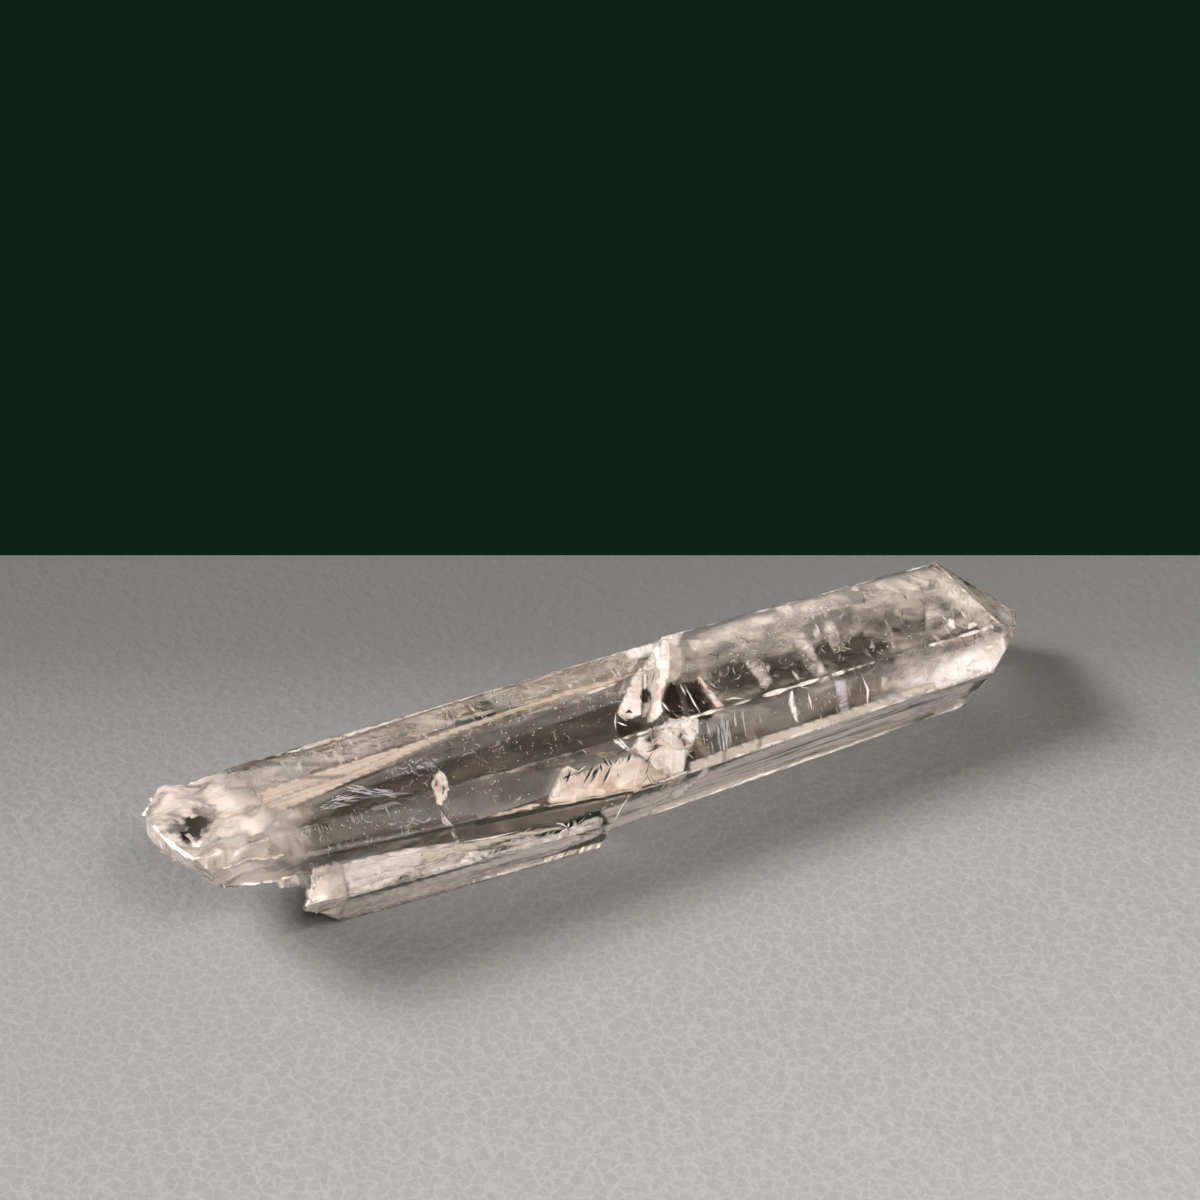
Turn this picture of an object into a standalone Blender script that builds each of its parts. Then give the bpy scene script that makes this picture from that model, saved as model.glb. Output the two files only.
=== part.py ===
"""A clear quartz crystal point lying on one of its prism faces.

The crystal is one grown piece, modelled in metres with +Z up and +X along its long axis towards the
point.  It is three intergrown blocks of one crystal, joined into a single solid:

  point block   the stout front half, with the pyramid faces at its end
  root block    the flatter rear half, which ends in the rough broken root
  rider         the low parallel crystal along the front of the root block, which carries it

Each block starts as a cube and gets one flat cut for each crystal face.
"""
import math

import bmesh
import bpy
from mathutils import Matrix, Vector, noise

MM = 0.001                    # the sizes below are millimetres

# --- Driving dimensions -------------------------------------------------------------------------
ROOT_LENGTH = 85.0            # root to the front corner of the point; the apex stands 3 mm further out
POINT_HEIGHT = 10.5           # height of the point block where the pyramid faces start
TOP_HALF_WIDTH = 5.7          # half the width of the top face, at the point
FRONT_FACE = 4.1              # width of the upper front prism face, at the point
BACK_FACE = 6.2               # width of the upper back prism face, at the point
TAPER = 1.08                  # degrees that each prism face leans in towards the point
PYRAMID = 38.2                # degrees between a prism face and the pyramid face above it
TOP_END = 3.0                 # the top face stops this far behind the point
FRONT_TIP = (0.2, -4.05, 8.1)  # where the small pyramid face at the front ends

SEAM = (-44.0, -8.7, 7.7)     # where the healed break between the two halves meets the front edge
SEAM_OVERLAP = 4.0            # the root block runs on this far inside the point block

BACK_STRIP_TILT = 15.0        # degrees that the back strip of the root block's top leans away
ROOT_UNDERSIDE = 6.3          # height of the root above the ground, at its end
RIDER_END = -75.0             # the rider's rough end
RIDER_CREST = 5.6             # height of the rider's front edge
RIDER_FRONT = -8.15           # and how far it stands out to the front

ROUGH_ROOT = -76.0            # behind this the root is broken and lumpy
ROUGH_RIDER = -71.5           # and so is the rider's end,
RIDER_ROOF = 9.0              # which lies below this height
RIDER_BACK = 7.0              # and in front of this line
ROUGH_FADE = 4.0              # the lumps grow to their full height over this length
ROUGH_STEP = 0.9              # spacing of the cuts that dice the broken surfaces
ROUGH_LUMPS = 0.75            # height of the large lumps, and how far apart they are
LUMP_SPAN = 3.0
ROUGH_GRAIN = 0.28            # height of the small lumps on them, and their spacing
GRAIN_SPAN = 1.05
ROUGH_WEAR = 0.1              # the broken surface lies this far inside the crystal faces
GROUND_GAP = 0.12             # and the rider's broken end stays this far above the ground
GROUND_FACE = 0.05            # what lies lower than this is the flat face that it rests on
PIT = (-82.6, -1.4, 13.4)     # the deep pit in the root, its radius and its depth
PIT_RADIUS = 1.7
PIT_DEPTH = 1.5

STOCK = 60.0                  # width and height of the blocks that the crystals are cut from
MERGE = 0.0002                # vertices closer than this many millimetres are one


def prism_normal(angle, taper=TAPER, lean=TAPER):
    """Normal of a prism face whose top edge is turned by angle degrees from up towards the front.

    The faces close in on the point by the taper, and the whole prism leans forward by the same
    angle, so that its lowest face lies flat on the ground.
    """
    turn, close = math.radians(angle), math.radians(taper)
    normal = Vector((math.sin(close), -math.sin(turn) * math.cos(close), math.cos(turn) * math.cos(close)))
    return Matrix.Rotation(math.radians(lean), 3, "Y") @ normal


def pyramid_normal(angle):
    """Normal of the pyramid face that stands over the prism face at the same angle."""
    return prism_normal(angle, taper=PYRAMID)


def direction(x, y, z):
    return Vector((x, y, z)).normalized()


def block(name, start, end, faces, collection):
    """A cube from start to end along X, cut flat once for each (point, normal) in faces."""
    mesh = bmesh.new()
    bmesh.ops.create_cube(mesh, size=1.0)
    bmesh.ops.scale(mesh, vec=(end - start, STOCK, STOCK), verts=mesh.verts)
    bmesh.ops.translate(mesh, vec=((start + end) / 2, 0.0, 0.0), verts=mesh.verts)
    for point, normal in faces:
        cut = bmesh.ops.bisect_plane(mesh, geom=mesh.verts[:] + mesh.edges[:] + mesh.faces[:],
                                     plane_co=Vector(point), plane_no=normal, clear_outer=True)
        rim = [item for item in cut["geom_cut"] if isinstance(item, bmesh.types.BMEdge)]
        if rim:
            bmesh.ops.holes_fill(mesh, edges=rim, sides=0)
    bmesh.ops.recalc_face_normals(mesh, faces=mesh.faces)
    return link(name, mesh, collection)


def link(name, mesh, collection):
    data = bpy.data.meshes.new(name)
    mesh.to_mesh(data)
    mesh.free()
    made = bpy.data.objects.new(name, data)
    collection.objects.link(made)
    return made


def top_height(x):
    """Height of the top face above the ground at x."""
    normal = prism_normal(0.0)
    return POINT_HEIGHT - (x + TOP_END) * normal.x / normal.z


def down_face(y, z, angle, width):
    """The point reached by going down a prism face of that angle and width from (y, z)."""
    turn = math.radians(angle)
    sign = -1.0 if angle > 0 else 1.0
    return y + sign * width * abs(math.cos(turn)), z - width * abs(math.sin(turn))


def through(first, second, third):
    """A cut through three points of the surface, with its normal upwards."""
    first, second, third = Vector(first), Vector(second), Vector(third)
    normal = (second - first).cross(third - first).normalized()
    return first, normal if normal.z > 0 else -normal


def meet(first, second, third):
    """The point where three cuts meet."""
    normals = Matrix([normal for _, normal in (first, second, third)])
    offsets = Vector([normal.dot(Vector(point)) for point, normal in (first, second, third)])
    return normals.inverted() @ offsets


def seam(shift):
    """The healed break between the halves, moved along the crystal: a point and its normal."""
    return (SEAM[0] + shift, SEAM[1], SEAM[2]), direction(-0.80, 0.50, 0.33)


def point_block(collection):
    """The front half: six prism faces and the six pyramid faces that make the point."""
    x = -TOP_END
    top = top_height(x)
    front_y, front_z = down_face(-TOP_HALF_WIDTH, top, 60.0, FRONT_FACE)
    back_y, back_z = down_face(TOP_HALF_WIDTH, top, -60.0, BACK_FACE)
    over_top = ((x, TOP_HALF_WIDTH, top), pyramid_normal(0.0))
    over_front = (FRONT_TIP, pyramid_normal(60.0))
    under_front = (FRONT_TIP, pyramid_normal(120.0))
    over_back = ((x, TOP_HALF_WIDTH, top), pyramid_normal(-60.0))
    apex = meet(over_top, under_front, over_back)
    faces = [
        ((x, 0.0, top), prism_normal(0.0)),
        ((x, -TOP_HALF_WIDTH, top), prism_normal(60.0)),
        ((x, front_y, front_z), prism_normal(120.0)),
        ((x, 0.0, 0.0), prism_normal(180.0)),
        ((x, back_y, back_z), prism_normal(-120.0)),
        ((x, TOP_HALF_WIDTH, top), prism_normal(-60.0)),
        over_top, over_front, under_front, over_back,
        (apex, pyramid_normal(180.0)),
        (apex, pyramid_normal(-120.0)),
        seam(0.0),
    ]
    return block("point_block", -60.0, 10.0, faces, collection)


def root_block(collection):
    """The rear half: a wide, low prism whose underside rises towards the root."""
    x = -57.0
    top = top_height(x) - 0.03                  # a hair under the point block's top
    tilt = math.radians(BACK_STRIP_TILT)
    strip = direction(0.0174, math.sin(tilt), math.cos(tilt))
    strip_at = Vector((-73.0, -1.0, top_height(-73.0)))
    wedge_back = Vector((-79.0, 2.2, strip_at.z))       # the long wedge face between strip and top
    wedge_back.z -= strip.dot(wedge_back - strip_at) / strip.z
    wedge_front = (-79.0, -3.4, top_height(-79.0))
    wedge_point = (-47.0, 1.0, top_height(-47.0))
    end, end_normal = seam(SEAM_OVERLAP)
    faces = [
        ((x, 0.0, top), prism_normal(0.0)),
        (strip_at, strip),
        through(wedge_back, wedge_front, wedge_point),
        ((x, -5.9, top), direction(0.005, -0.866, 0.5)),
        ((x, -7.95, 9.75), direction(-0.107, -0.866, -0.5)),
        ((-76.0, 0.0, ROOT_UNDERSIDE), direction(-0.14, 0.0, -1.0)),
        ((x, 7.2, 11.2), direction(0.015, 0.866, 0.5)),
        ((x, 9.2, 7.4), direction(-0.02, 0.866, -0.5)),
        (end, -end_normal),
        ((-86.0, 0.0, 11.0), direction(-0.98, 0.02, 0.12)),
        ((-85.4, 3.6, 10.0), direction(-0.986, -0.03, -0.165)),
        ((-85.6, 5.0, 12.2), direction(-0.62, 0.30, 0.68)),
        ((-83.9, 0.65, 8.0), direction(-0.79, -0.35, -0.50)),
        ((-83.0, 6.0, 8.0), direction(-0.75, 0.55, -0.30)),
    ]
    return block("root_block", -ROOT_LENGTH - 5.0, -20.0, faces, collection)


def rider(collection):
    """The parallel crystal along the front, lying on the ground and carrying the root block."""
    x = -62.0
    faces = [
        ((x, RIDER_FRONT, RIDER_CREST), direction(-0.025, -0.866, 0.5)),
        ((x, RIDER_FRONT, RIDER_CREST), direction(-0.06, -0.866, -0.5)),
        ((x, 0.0, 0.0), prism_normal(180.0)),
        ((x, 4.4, 0.0), direction(-0.03, 0.866, -0.5)),
        ((x, 7.0, 4.5), direction(0.0, 0.866, 0.5)),
        ((x, 0.0, 10.2), prism_normal(0.0)),
        ((RIDER_END, -6.5, 6.5), direction(-0.87, 0.45, 0.22)),
        ((-73.6, -6.0, 3.0), direction(-0.75, 0.05, -0.66)),
        ((-45.0, -5.1, 0.0), direction(0.62, -0.68, -0.38)),
    ]
    return block("rider_block", -80.0, -20.0, faces, collection)


def join(body, other):
    """Boolean union of other into body, with the result written to body's mesh."""
    union = body.modifiers.new("join", "BOOLEAN")
    union.operation = "UNION"
    union.solver = "EXACT"
    union.object = other
    evaluated = body.evaluated_get(bpy.context.evaluated_depsgraph_get())
    joined = bpy.data.meshes.new_from_object(evaluated)
    body.modifiers.clear()
    body.data = joined
    bpy.data.objects.remove(other)


def on_rider(co):
    """Whether a point is low and forward enough to belong to the rider and not to the root above."""
    return co.z < RIDER_ROOF and co.y < RIDER_BACK


def is_broken(co):
    """Whether a point of the surface lies on the broken root or on the rider's broken end."""
    return co.x < ROUGH_ROOT or (co.x < ROUGH_RIDER and on_rider(co))


def dice(mesh):
    """Cut the broken surfaces into small cells, so that they can take lumps."""
    low = [min(v.co[axis] for v in mesh.verts) for axis in range(3)]
    high = [max(v.co[axis] for v in mesh.verts) for axis in range(3)]
    high[0] = ROUGH_RIDER
    for place in (ROUGH_ROOT, ROUGH_RIDER):
        bmesh.ops.bisect_plane(mesh, geom=mesh.verts[:] + mesh.edges[:] + mesh.faces[:],
                               plane_co=(place, 0.0, 0.0), plane_no=(1.0, 0.0, 0.0), dist=MERGE)
    for axis in range(3):
        normal = Vector([float(i == axis) for i in range(3)])
        place = low[axis] + ROUGH_STEP
        while place < high[axis] + 0.01:
            faces = [f for f in mesh.faces if is_broken(f.calc_center_median())]
            rims = [item for f in faces for item in (*f.edges, *f.verts)]
            bmesh.ops.bisect_plane(mesh, geom=faces + list(dict.fromkeys(rims)), plane_co=normal * place,
                                   plane_no=normal, dist=MERGE)
            place += ROUGH_STEP
    bmesh.ops.triangulate(mesh, faces=mesh.faces)


def roughen(mesh):
    """Push the diced surfaces in and out, sink the pit, and keep the ground face flat."""
    mesh.normal_update()
    moves = {}
    for vert in mesh.verts:
        co = vert.co
        if not is_broken(co) or co.z < GROUND_FACE:
            continue
        edge = ROUGH_RIDER if on_rider(co) else ROUGH_ROOT
        fade = min(1.0, (edge - co.x) / ROUGH_FADE)
        lumps = noise.noise(co / LUMP_SPAN) * ROUGH_LUMPS + noise.noise(co / GRAIN_SPAN) * ROUGH_GRAIN
        pit = (co - Vector(PIT)).length / PIT_RADIUS
        sink = PIT_DEPTH * math.exp(-pit * pit)
        moves[vert] = vert.normal * (fade * (lumps - ROUGH_WEAR) - sink)
    for vert, move in moves.items():
        vert.co += move
        vert.co.z = max(vert.co.z, GROUND_GAP)


def finish(crystal):
    """Break up the root, set the crystal over the origin and turn its millimetres into metres."""
    mesh = bmesh.new()
    mesh.from_mesh(crystal.data)
    bmesh.ops.remove_doubles(mesh, verts=mesh.verts, dist=MERGE)
    dice(mesh)
    roughen(mesh)
    low = [min(v.co[axis] for v in mesh.verts) for axis in range(3)]
    high = [max(v.co[axis] for v in mesh.verts) for axis in range(3)]
    centre = Vector(((low[0] + high[0]) / 2, (low[1] + high[1]) / 2, low[2]))
    bmesh.ops.translate(mesh, vec=-centre, verts=mesh.verts)
    bmesh.ops.scale(mesh, vec=(MM, MM, MM), verts=mesh.verts)
    bmesh.ops.recalc_face_normals(mesh, faces=mesh.faces)
    mesh.to_mesh(crystal.data)
    mesh.free()


def clear_quartz():
    """The crystal's own material: clear, faintly warm, and frosted where it is broken."""
    material = bpy.data.materials.new("clear_quartz")
    material.use_nodes = True
    shader = material.node_tree.nodes["Principled BSDF"]
    shader.inputs["Base Color"].default_value = (0.92, 0.88, 0.83, 1.0)
    shader.inputs["Roughness"].default_value = 0.06
    shader.inputs["Metallic"].default_value = 0.0
    shader.inputs["IOR"].default_value = 1.544
    shader.inputs["Transmission Weight"].default_value = 1.0
    return material


def clear_scene():
    for item in list(bpy.data.objects):
        bpy.data.objects.remove(item, do_unlink=True)


def build():
    clear_scene()
    collection = bpy.data.collections.new("quartz_crystal_point")
    bpy.context.scene.collection.children.link(collection)
    crystal = root_block(collection)
    join(crystal, rider(collection))
    join(crystal, point_block(collection))
    finish(crystal)
    crystal.name = "quartz_crystal"
    crystal.data.materials.clear()
    crystal.data.materials.append(clear_quartz())


build()
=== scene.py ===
# %% [markdown]
# # A quartz crystal point
# The object is one natural crystal of clear quartz, about 90 mm long. It lies on one of its prism
# faces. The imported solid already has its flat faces, so this lesson adds what a solid can't show:
# worn edges, a milky broken root, the fine flaws inside, and the glass-like material that lets
# them be seen. Everything is in metres, with +X along the crystal towards its point.

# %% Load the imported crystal
import math
import random

import bmesh
import bpy
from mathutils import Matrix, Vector, noise
from mathutils.bvhtree import BVHTree


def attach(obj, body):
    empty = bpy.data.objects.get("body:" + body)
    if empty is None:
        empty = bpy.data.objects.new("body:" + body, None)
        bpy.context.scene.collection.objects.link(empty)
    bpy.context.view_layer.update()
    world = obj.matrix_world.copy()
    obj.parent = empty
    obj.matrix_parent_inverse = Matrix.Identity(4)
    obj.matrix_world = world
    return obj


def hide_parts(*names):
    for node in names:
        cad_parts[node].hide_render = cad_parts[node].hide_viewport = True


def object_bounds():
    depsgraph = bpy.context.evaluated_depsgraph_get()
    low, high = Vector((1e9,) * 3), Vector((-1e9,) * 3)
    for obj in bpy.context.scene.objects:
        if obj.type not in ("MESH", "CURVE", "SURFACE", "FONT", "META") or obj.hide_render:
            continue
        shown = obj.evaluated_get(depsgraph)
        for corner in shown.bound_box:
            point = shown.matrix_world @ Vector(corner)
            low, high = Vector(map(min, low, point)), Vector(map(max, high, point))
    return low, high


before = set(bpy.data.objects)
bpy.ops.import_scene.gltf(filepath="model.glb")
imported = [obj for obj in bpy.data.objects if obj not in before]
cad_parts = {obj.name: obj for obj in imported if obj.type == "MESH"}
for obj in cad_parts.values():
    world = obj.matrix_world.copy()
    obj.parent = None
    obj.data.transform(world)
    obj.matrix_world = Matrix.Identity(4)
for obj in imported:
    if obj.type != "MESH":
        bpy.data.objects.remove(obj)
cad_low, cad_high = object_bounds()
MM = 0.001
print("packed crystal, mm:", [round(v / MM, 1) for v in cad_high - cad_low])

# %% [markdown]
# A clear crystal has to be seen from a fixed place before its inside can be arranged, because its
# faces bend every line of sight. So the camera comes first. It is a long lens close to the
# crystal, looking down at about 36 degrees, with the point away to the right.

# %% Camera
CAMERA_PLACE = Vector((-109.73, -204.27, 189.88)) * MM
CAMERA_TURN = math.radians(-27.77)      # around the crystal, from the front
CAMERA_DIP = math.radians(35.89)        # below the horizon
SENSOR = 36.0
LENS = 96.0

camera_data = bpy.data.cameras.new("camera")
camera_data.sensor_width = SENSOR
camera_data.lens = LENS
camera_data.clip_start = 0.01
camera_data.clip_end = 20.0
camera = bpy.data.objects.new("camera", camera_data)
bpy.context.scene.collection.objects.link(camera)
camera.location = CAMERA_PLACE
camera.rotation_euler = (math.pi / 2 - CAMERA_DIP, 0.0, CAMERA_TURN)
bpy.context.scene.camera = camera
print("camera to crystal, mm:", round(CAMERA_PLACE.length / MM))

# %% [markdown]
# A material in Blender is a tree of nodes. Each one below starts with the same shader and adds a few
# nodes to it, so two helpers come first: one starts a material, and one adds a node and gives it
# its values by name. Clicking the trees together by hand works too, but can't be repeated.

# %% Helpers for materials
def new_material(name):
    """A new material with its node tree and its main shader."""
    material = bpy.data.materials.new(name)
    material.use_nodes = True
    tree = material.node_tree
    return material, tree, tree.nodes["Principled BSDF"]


def add_node(tree, kind, **settings):
    """A new node; each setting is one of its inputs, or else one of its properties."""
    node = tree.nodes.new(kind)
    for key, value in settings.items():
        if key in node.inputs:
            node.inputs[key].default_value = value
        else:
            setattr(node, key, value)
    return node


# %% [markdown]
# The crystal lies on a plain pale sheet that ends a little way behind it. One flat face is enough
# for that, made from its four corners. It lies a hair's breadth under the resting face, because two
# faces in one place would flicker.

# %% Floor
FLOOR_DROP = 0.00006                    # air gap under the resting face
FLOOR_EDGE = (Vector((16.3, 34.9, 0.0)) * MM, Vector((0.885, -0.466, 0.0)))     # a point and a direction
FLOOR_HALF = 1.2                        # m, to each side
FLOOR_DEPTH = 1.6                       # m, from the far edge towards the viewer

edge_way = FLOOR_EDGE[1].normalized()
toward = Vector((edge_way.y, -edge_way.x, 0.0))
floor_mesh = bmesh.new()
for side, depth in ((-FLOOR_HALF, 0.0), (FLOOR_HALF, 0.0), (FLOOR_HALF, FLOOR_DEPTH),
(-FLOOR_HALF, FLOOR_DEPTH)):
    floor_mesh.verts.new(FLOOR_EDGE[0] + edge_way * side + toward * depth - Vector((0, 0, FLOOR_DROP)))
bmesh.ops.contextual_create(floor_mesh, geom=floor_mesh.verts[:])
bmesh.ops.recalc_face_normals(floor_mesh, faces=floor_mesh.faces)
for face in floor_mesh.faces:
    if face.normal.z < 0:
        face.normal_flip()
floor_data = bpy.data.meshes.new("floor")
floor_mesh.to_mesh(floor_data)
floor_mesh.free()
floor = bpy.data.objects.new("floor", floor_data)
bpy.context.scene.collection.objects.link(floor)
print("floor faces:", len(floor_data.polygons))

# %% [markdown]
# The sheet is graduated: grey along its far edge and paler towards the viewer. This is painted
# shade: the fall of the lamps' light over the sheet is put into its colour. The distance from that
# edge, as a dot product, drives a colour ramp. A lamp could shade the sheet as well, but its light
# would change the crystal too.

# %% Painted shade of the sheet
SHEET_FADE = 0.090                      # m over which the sheet turns from grey to pale
# Painted shade: the tones of the ramp, grey at the far edge and pale in front.
PAINTED_SHADE_TONES = ((0.0, 0.079), (0.17, 0.083), (0.38, 0.121), (0.54, 0.144), (1.0, 0.150))    # place, tone
SHEET_TINT = (1.0, 0.985, 0.96)         # a little warmer than grey

stone, stone_tree, shader = new_material("pale_floor")
where = stone_tree.nodes.new("ShaderNodeTexCoord")
slide = add_node(stone_tree, "ShaderNodeVectorMath", operation="DOT_PRODUCT")
from_edge = add_node(stone_tree, "ShaderNodeVectorMath", operation="SUBTRACT")
stone_tree.links.new(where.outputs["Object"], from_edge.inputs[0])
from_edge.inputs[1].default_value = FLOOR_EDGE[0]
stone_tree.links.new(from_edge.outputs["Vector"], slide.inputs[0])
slide.inputs[1].default_value = toward / SHEET_FADE
ramp = stone_tree.nodes.new("ShaderNodeValToRGB")
stone_tree.links.new(slide.outputs["Value"], ramp.inputs["Fac"])
for _ in PAINTED_SHADE_TONES[2:]:
    ramp.color_ramp.elements.new(0.5)
for stop, (spot, tone) in zip(ramp.color_ramp.elements, PAINTED_SHADE_TONES):
    stop.position = spot
    stop.color = (*(tone * share for share in SHEET_TINT), 1.0)
print("tones of the sheet:", len(ramp.color_ramp.elements))

# %% [markdown]
# Fine pale veins craze the sheet. They are the borders of Voronoi cells, which noise bends so that
# they aren't straight, and they fade out towards the far edge. A second noise gives the sheet its
# soft grain as a bump, since modelled grain would cost many thousands of faces.

# %% Veins and grain of the sheet
CRAZE_SCALE = 840.0                     # cells per metre
CRAZE_WANDER = 0.0011                   # m by which the veins stray from straight lines
WANDER_SCALE = 700.0
VEIN_WIDTH = 0.12                       # share of a cell
VEIN_LIGHT = 0.022                      # how much paler a vein is than the sheet
VEINS_START = 0.10                      # place on the ramp where the veins begin
VEINS_FULL = 0.45                       # and where they are at their strongest
GRAIN_SCALE = 900.0
GRAIN_HEIGHT = 0.00035
FLOOR_ROUGHNESS = 0.8
FLOOR_SHINE = 0.2

wander = add_node(stone_tree, "ShaderNodeTexNoise", Scale=WANDER_SCALE, Detail=2.0)
stone_tree.links.new(where.outputs["Object"], wander.inputs["Vector"])
bent = add_node(stone_tree, "ShaderNodeVectorMath", operation="MULTIPLY_ADD")
stone_tree.links.new(wander.outputs["Color"], bent.inputs[0])
bent.inputs[1].default_value = (CRAZE_WANDER, CRAZE_WANDER, CRAZE_WANDER)
stone_tree.links.new(where.outputs["Object"], bent.inputs[2])
craze = add_node(stone_tree, "ShaderNodeTexVoronoi", feature="DISTANCE_TO_EDGE", Scale=CRAZE_SCALE)
stone_tree.links.new(bent.outputs["Vector"], craze.inputs["Vector"])
vein = stone_tree.nodes.new("ShaderNodeMapRange")
stone_tree.links.new(craze.outputs["Distance"], vein.inputs["Value"])
vein.inputs["From Max"].default_value = VEIN_WIDTH
vein.inputs["To Min"].default_value = VEIN_LIGHT
vein.inputs["To Max"].default_value = 0.0
near_enough = stone_tree.nodes.new("ShaderNodeMapRange")
stone_tree.links.new(slide.outputs["Value"], near_enough.inputs["Value"])
near_enough.inputs["From Min"].default_value = VEINS_START
near_enough.inputs["From Max"].default_value = VEINS_FULL
seen_vein = add_node(stone_tree, "ShaderNodeMath", operation="MULTIPLY")
stone_tree.links.new(vein.outputs["Result"], seen_vein.inputs[0])
stone_tree.links.new(near_enough.outputs["Result"], seen_vein.inputs[1])
veined = add_node(stone_tree, "ShaderNodeMix", data_type="RGBA", blend_type="ADD")
stone_tree.links.new(seen_vein.outputs["Value"], veined.inputs["Factor"])
stone_tree.links.new(ramp.outputs["Color"], veined.inputs["A"])
veined.inputs["B"].default_value = (1.0, 1.0, 1.0, 1.0)
stone_tree.links.new(veined.outputs["Result"], shader.inputs["Base Color"])
shader.inputs["Roughness"].default_value = FLOOR_ROUGHNESS
shader.inputs["Specular IOR Level"].default_value = FLOOR_SHINE
weave = add_node(stone_tree, "ShaderNodeTexNoise", Scale=GRAIN_SCALE, Detail=3.0)
stone_tree.links.new(where.outputs["Object"], weave.inputs["Vector"])
weave_bump = add_node(stone_tree, "ShaderNodeBump", Strength=0.5, Distance=GRAIN_HEIGHT)
stone_tree.links.new(weave.outputs["Fac"], weave_bump.inputs["Height"])
stone_tree.links.new(weave_bump.outputs["Normal"], shader.inputs["Normal"])
floor_data.materials.append(stone)
print("nodes of the sheet:", len(stone_tree.nodes))

# %% [markdown]
# Clear quartz has hardly any colour of its own and shows what lies around it. A dark green surround
# is what makes its inside dark. Light goes through many faces and films in there, so the limits on
# how often it may bounce are raised, or the deepest places would turn black.

# %% Surround
SURROUND = (0.0048, 0.0160, 0.0093, 1.0)

world = bpy.data.worlds.new("surround")
world.use_nodes = True
world.node_tree.nodes["Background"].inputs["Color"].default_value = SURROUND
world.node_tree.nodes["Background"].inputs["Strength"].default_value = 1.0
bpy.context.scene.world = world
bpy.context.scene.view_settings.view_transform = "Standard"
bpy.context.scene.cycles.max_bounces = 18
bpy.context.scene.cycles.transmission_bounces = 16
bpy.context.scene.cycles.transparent_max_bounces = 32
print("surround:", SURROUND[:3])

# %% [markdown]
# Four soft lamps light the crystal. A window behind it on the left makes its edges bright, a fill
# lamp hangs high in front, and two weak lamps stand low in front, to its left and right. Area lamps
# are used because their size gives soft shadows, and their spread limits where the light falls.

# %% Lamps
COOL = (0.99, 0.985, 0.99)
WARM = (1.0, 0.955, 0.89)


def softbox(name, place, aim, size, power, spread, colour):
    """A rectangular lamp at a place, turned to its aim; the spread is in degrees."""
    light = bpy.data.lights.new(name, "AREA")
    light.shape = "RECTANGLE"
    light.size, light.size_y = size
    light.energy = power
    light.color = colour
    light.spread = math.radians(spread)
    lamp = bpy.data.objects.new(name, light)
    lamp.location = place
    lamp.rotation_euler = (Vector(aim) - Vector(place)).to_track_quat("-Z", "Y").to_euler()
    bpy.context.scene.collection.objects.link(lamp)
    print(name, "power, W:", power)


softbox("left_window", (-0.66, 0.46, 0.72), (0.24, -0.40, 0.0), (0.55, 0.45), 5.5, 48.0, COOL)
softbox("front_fill", (0.10, -0.75, 0.75), (0.03, -0.28, 0.0), (0.90, 0.60), 3.0, 48.0, WARM)
softbox("low_left", (-0.60, -0.50, 0.14), (-0.03, 0.0, 0.01), (0.50, 0.14), 0.6, 70.0, WARM)
softbox("low_right", (0.705, -0.60, 0.16), (0.0, 0.0, 0.01), (0.60, 0.14), 1.0, 70.0, COOL)

# %% [markdown]
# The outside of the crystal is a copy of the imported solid. Its loose triangles are merged, and the
# flat faces are joined back into single faces, so that the long edges between them can be worn.
# A natural crystal's edges are never knife sharp: a narrow bevel catches the light as a thin line.

# %% Outside of the crystal
MERGE = 0.000002                        # points closer than this are one
FLAT_ANGLE = math.radians(0.3)          # triangles that meet flatter than this are one face
EDGE_ANGLE = math.radians(10.0)         # an edge sharper than this can wear
BIG_FACE = 6.0 * MM * MM                # a face larger than this is one of the crystal's own
ABOVE_FLOOR = 0.1 * MM                  # what lies lower belongs to the resting face
TIP_START = 35.5 * MM                   # from here on the edges are fresh


def link_piece(name, mesh, *materials):
    """The object made from a finished bmesh, without the loose triangles' stale normals."""
    data = bpy.data.meshes.new(name)
    mesh.to_mesh(data)
    mesh.free()
    if "custom_normal" in data.attributes:
        data.attributes.remove(data.attributes["custom_normal"])
    for material in materials:
        data.materials.append(material)
    piece = bpy.data.objects.new(name, data)
    bpy.context.scene.collection.objects.link(piece)
    return piece


def packed_copy():
    """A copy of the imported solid, merged and with its flat faces joined."""
    mesh = bmesh.new()
    mesh.from_mesh(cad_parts["quartz_crystal"].data)
    bmesh.ops.remove_doubles(mesh, verts=mesh.verts, dist=MERGE)
    bmesh.ops.dissolve_limit(mesh, angle_limit=FLAT_ANGLE, verts=mesh.verts, edges=mesh.edges)
    return mesh


def is_sharp(edge):
    return edge.calc_face_angle() > EDGE_ANGLE and max(v.co.z for v in edge.verts) > ABOVE_FLOOR


def takes_wear(edge):
    """Sharp edges do, but for those on the floor and the fresh ones around the tip."""
    return is_sharp(edge) and min(v.co.x for v in edge.verts) < TIP_START


body_mesh = packed_copy()
crisp_tree = BVHTree.FromBMesh(body_mesh)
sharp_edges = [e for e in body_mesh.edges if len(e.link_faces) == 2
               and min(f.calc_area() for f in e.link_faces) > BIG_FACE and is_sharp(e)]
long_edges = [e for e in sharp_edges if takes_wear(e)]
flat_faces = [f for f in body_mesh.faces if f.calc_area() > BIG_FACE]
print("long edges:", len(long_edges), "flat faces:", len(flat_faces))

# %% [markdown]
# Only the root's end is broken. Its break could be painted by hand, but a rule is simpler here: a
# number from 0 to 1, which grows towards the root's end, says how broken each place is. The low
# crystal along the front, called the rider, is broken a little further along than the main one.

# %% How broken the surface is
ROOT_START = -34.5 * MM
RIDER_START = -29.5 * MM
RIDER_TOP = 8.6 * MM
RIDER_BACK = 6.0 * MM
FADE = 4.0 * MM                         # length over which the break sets in


def brokenness(co):
    on_rider = co.z < RIDER_TOP and co.y < RIDER_BACK
    start = RIDER_START if on_rider else ROOT_START
    return min(1.0, max(0.0, (start - co.x) / FADE))


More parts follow.
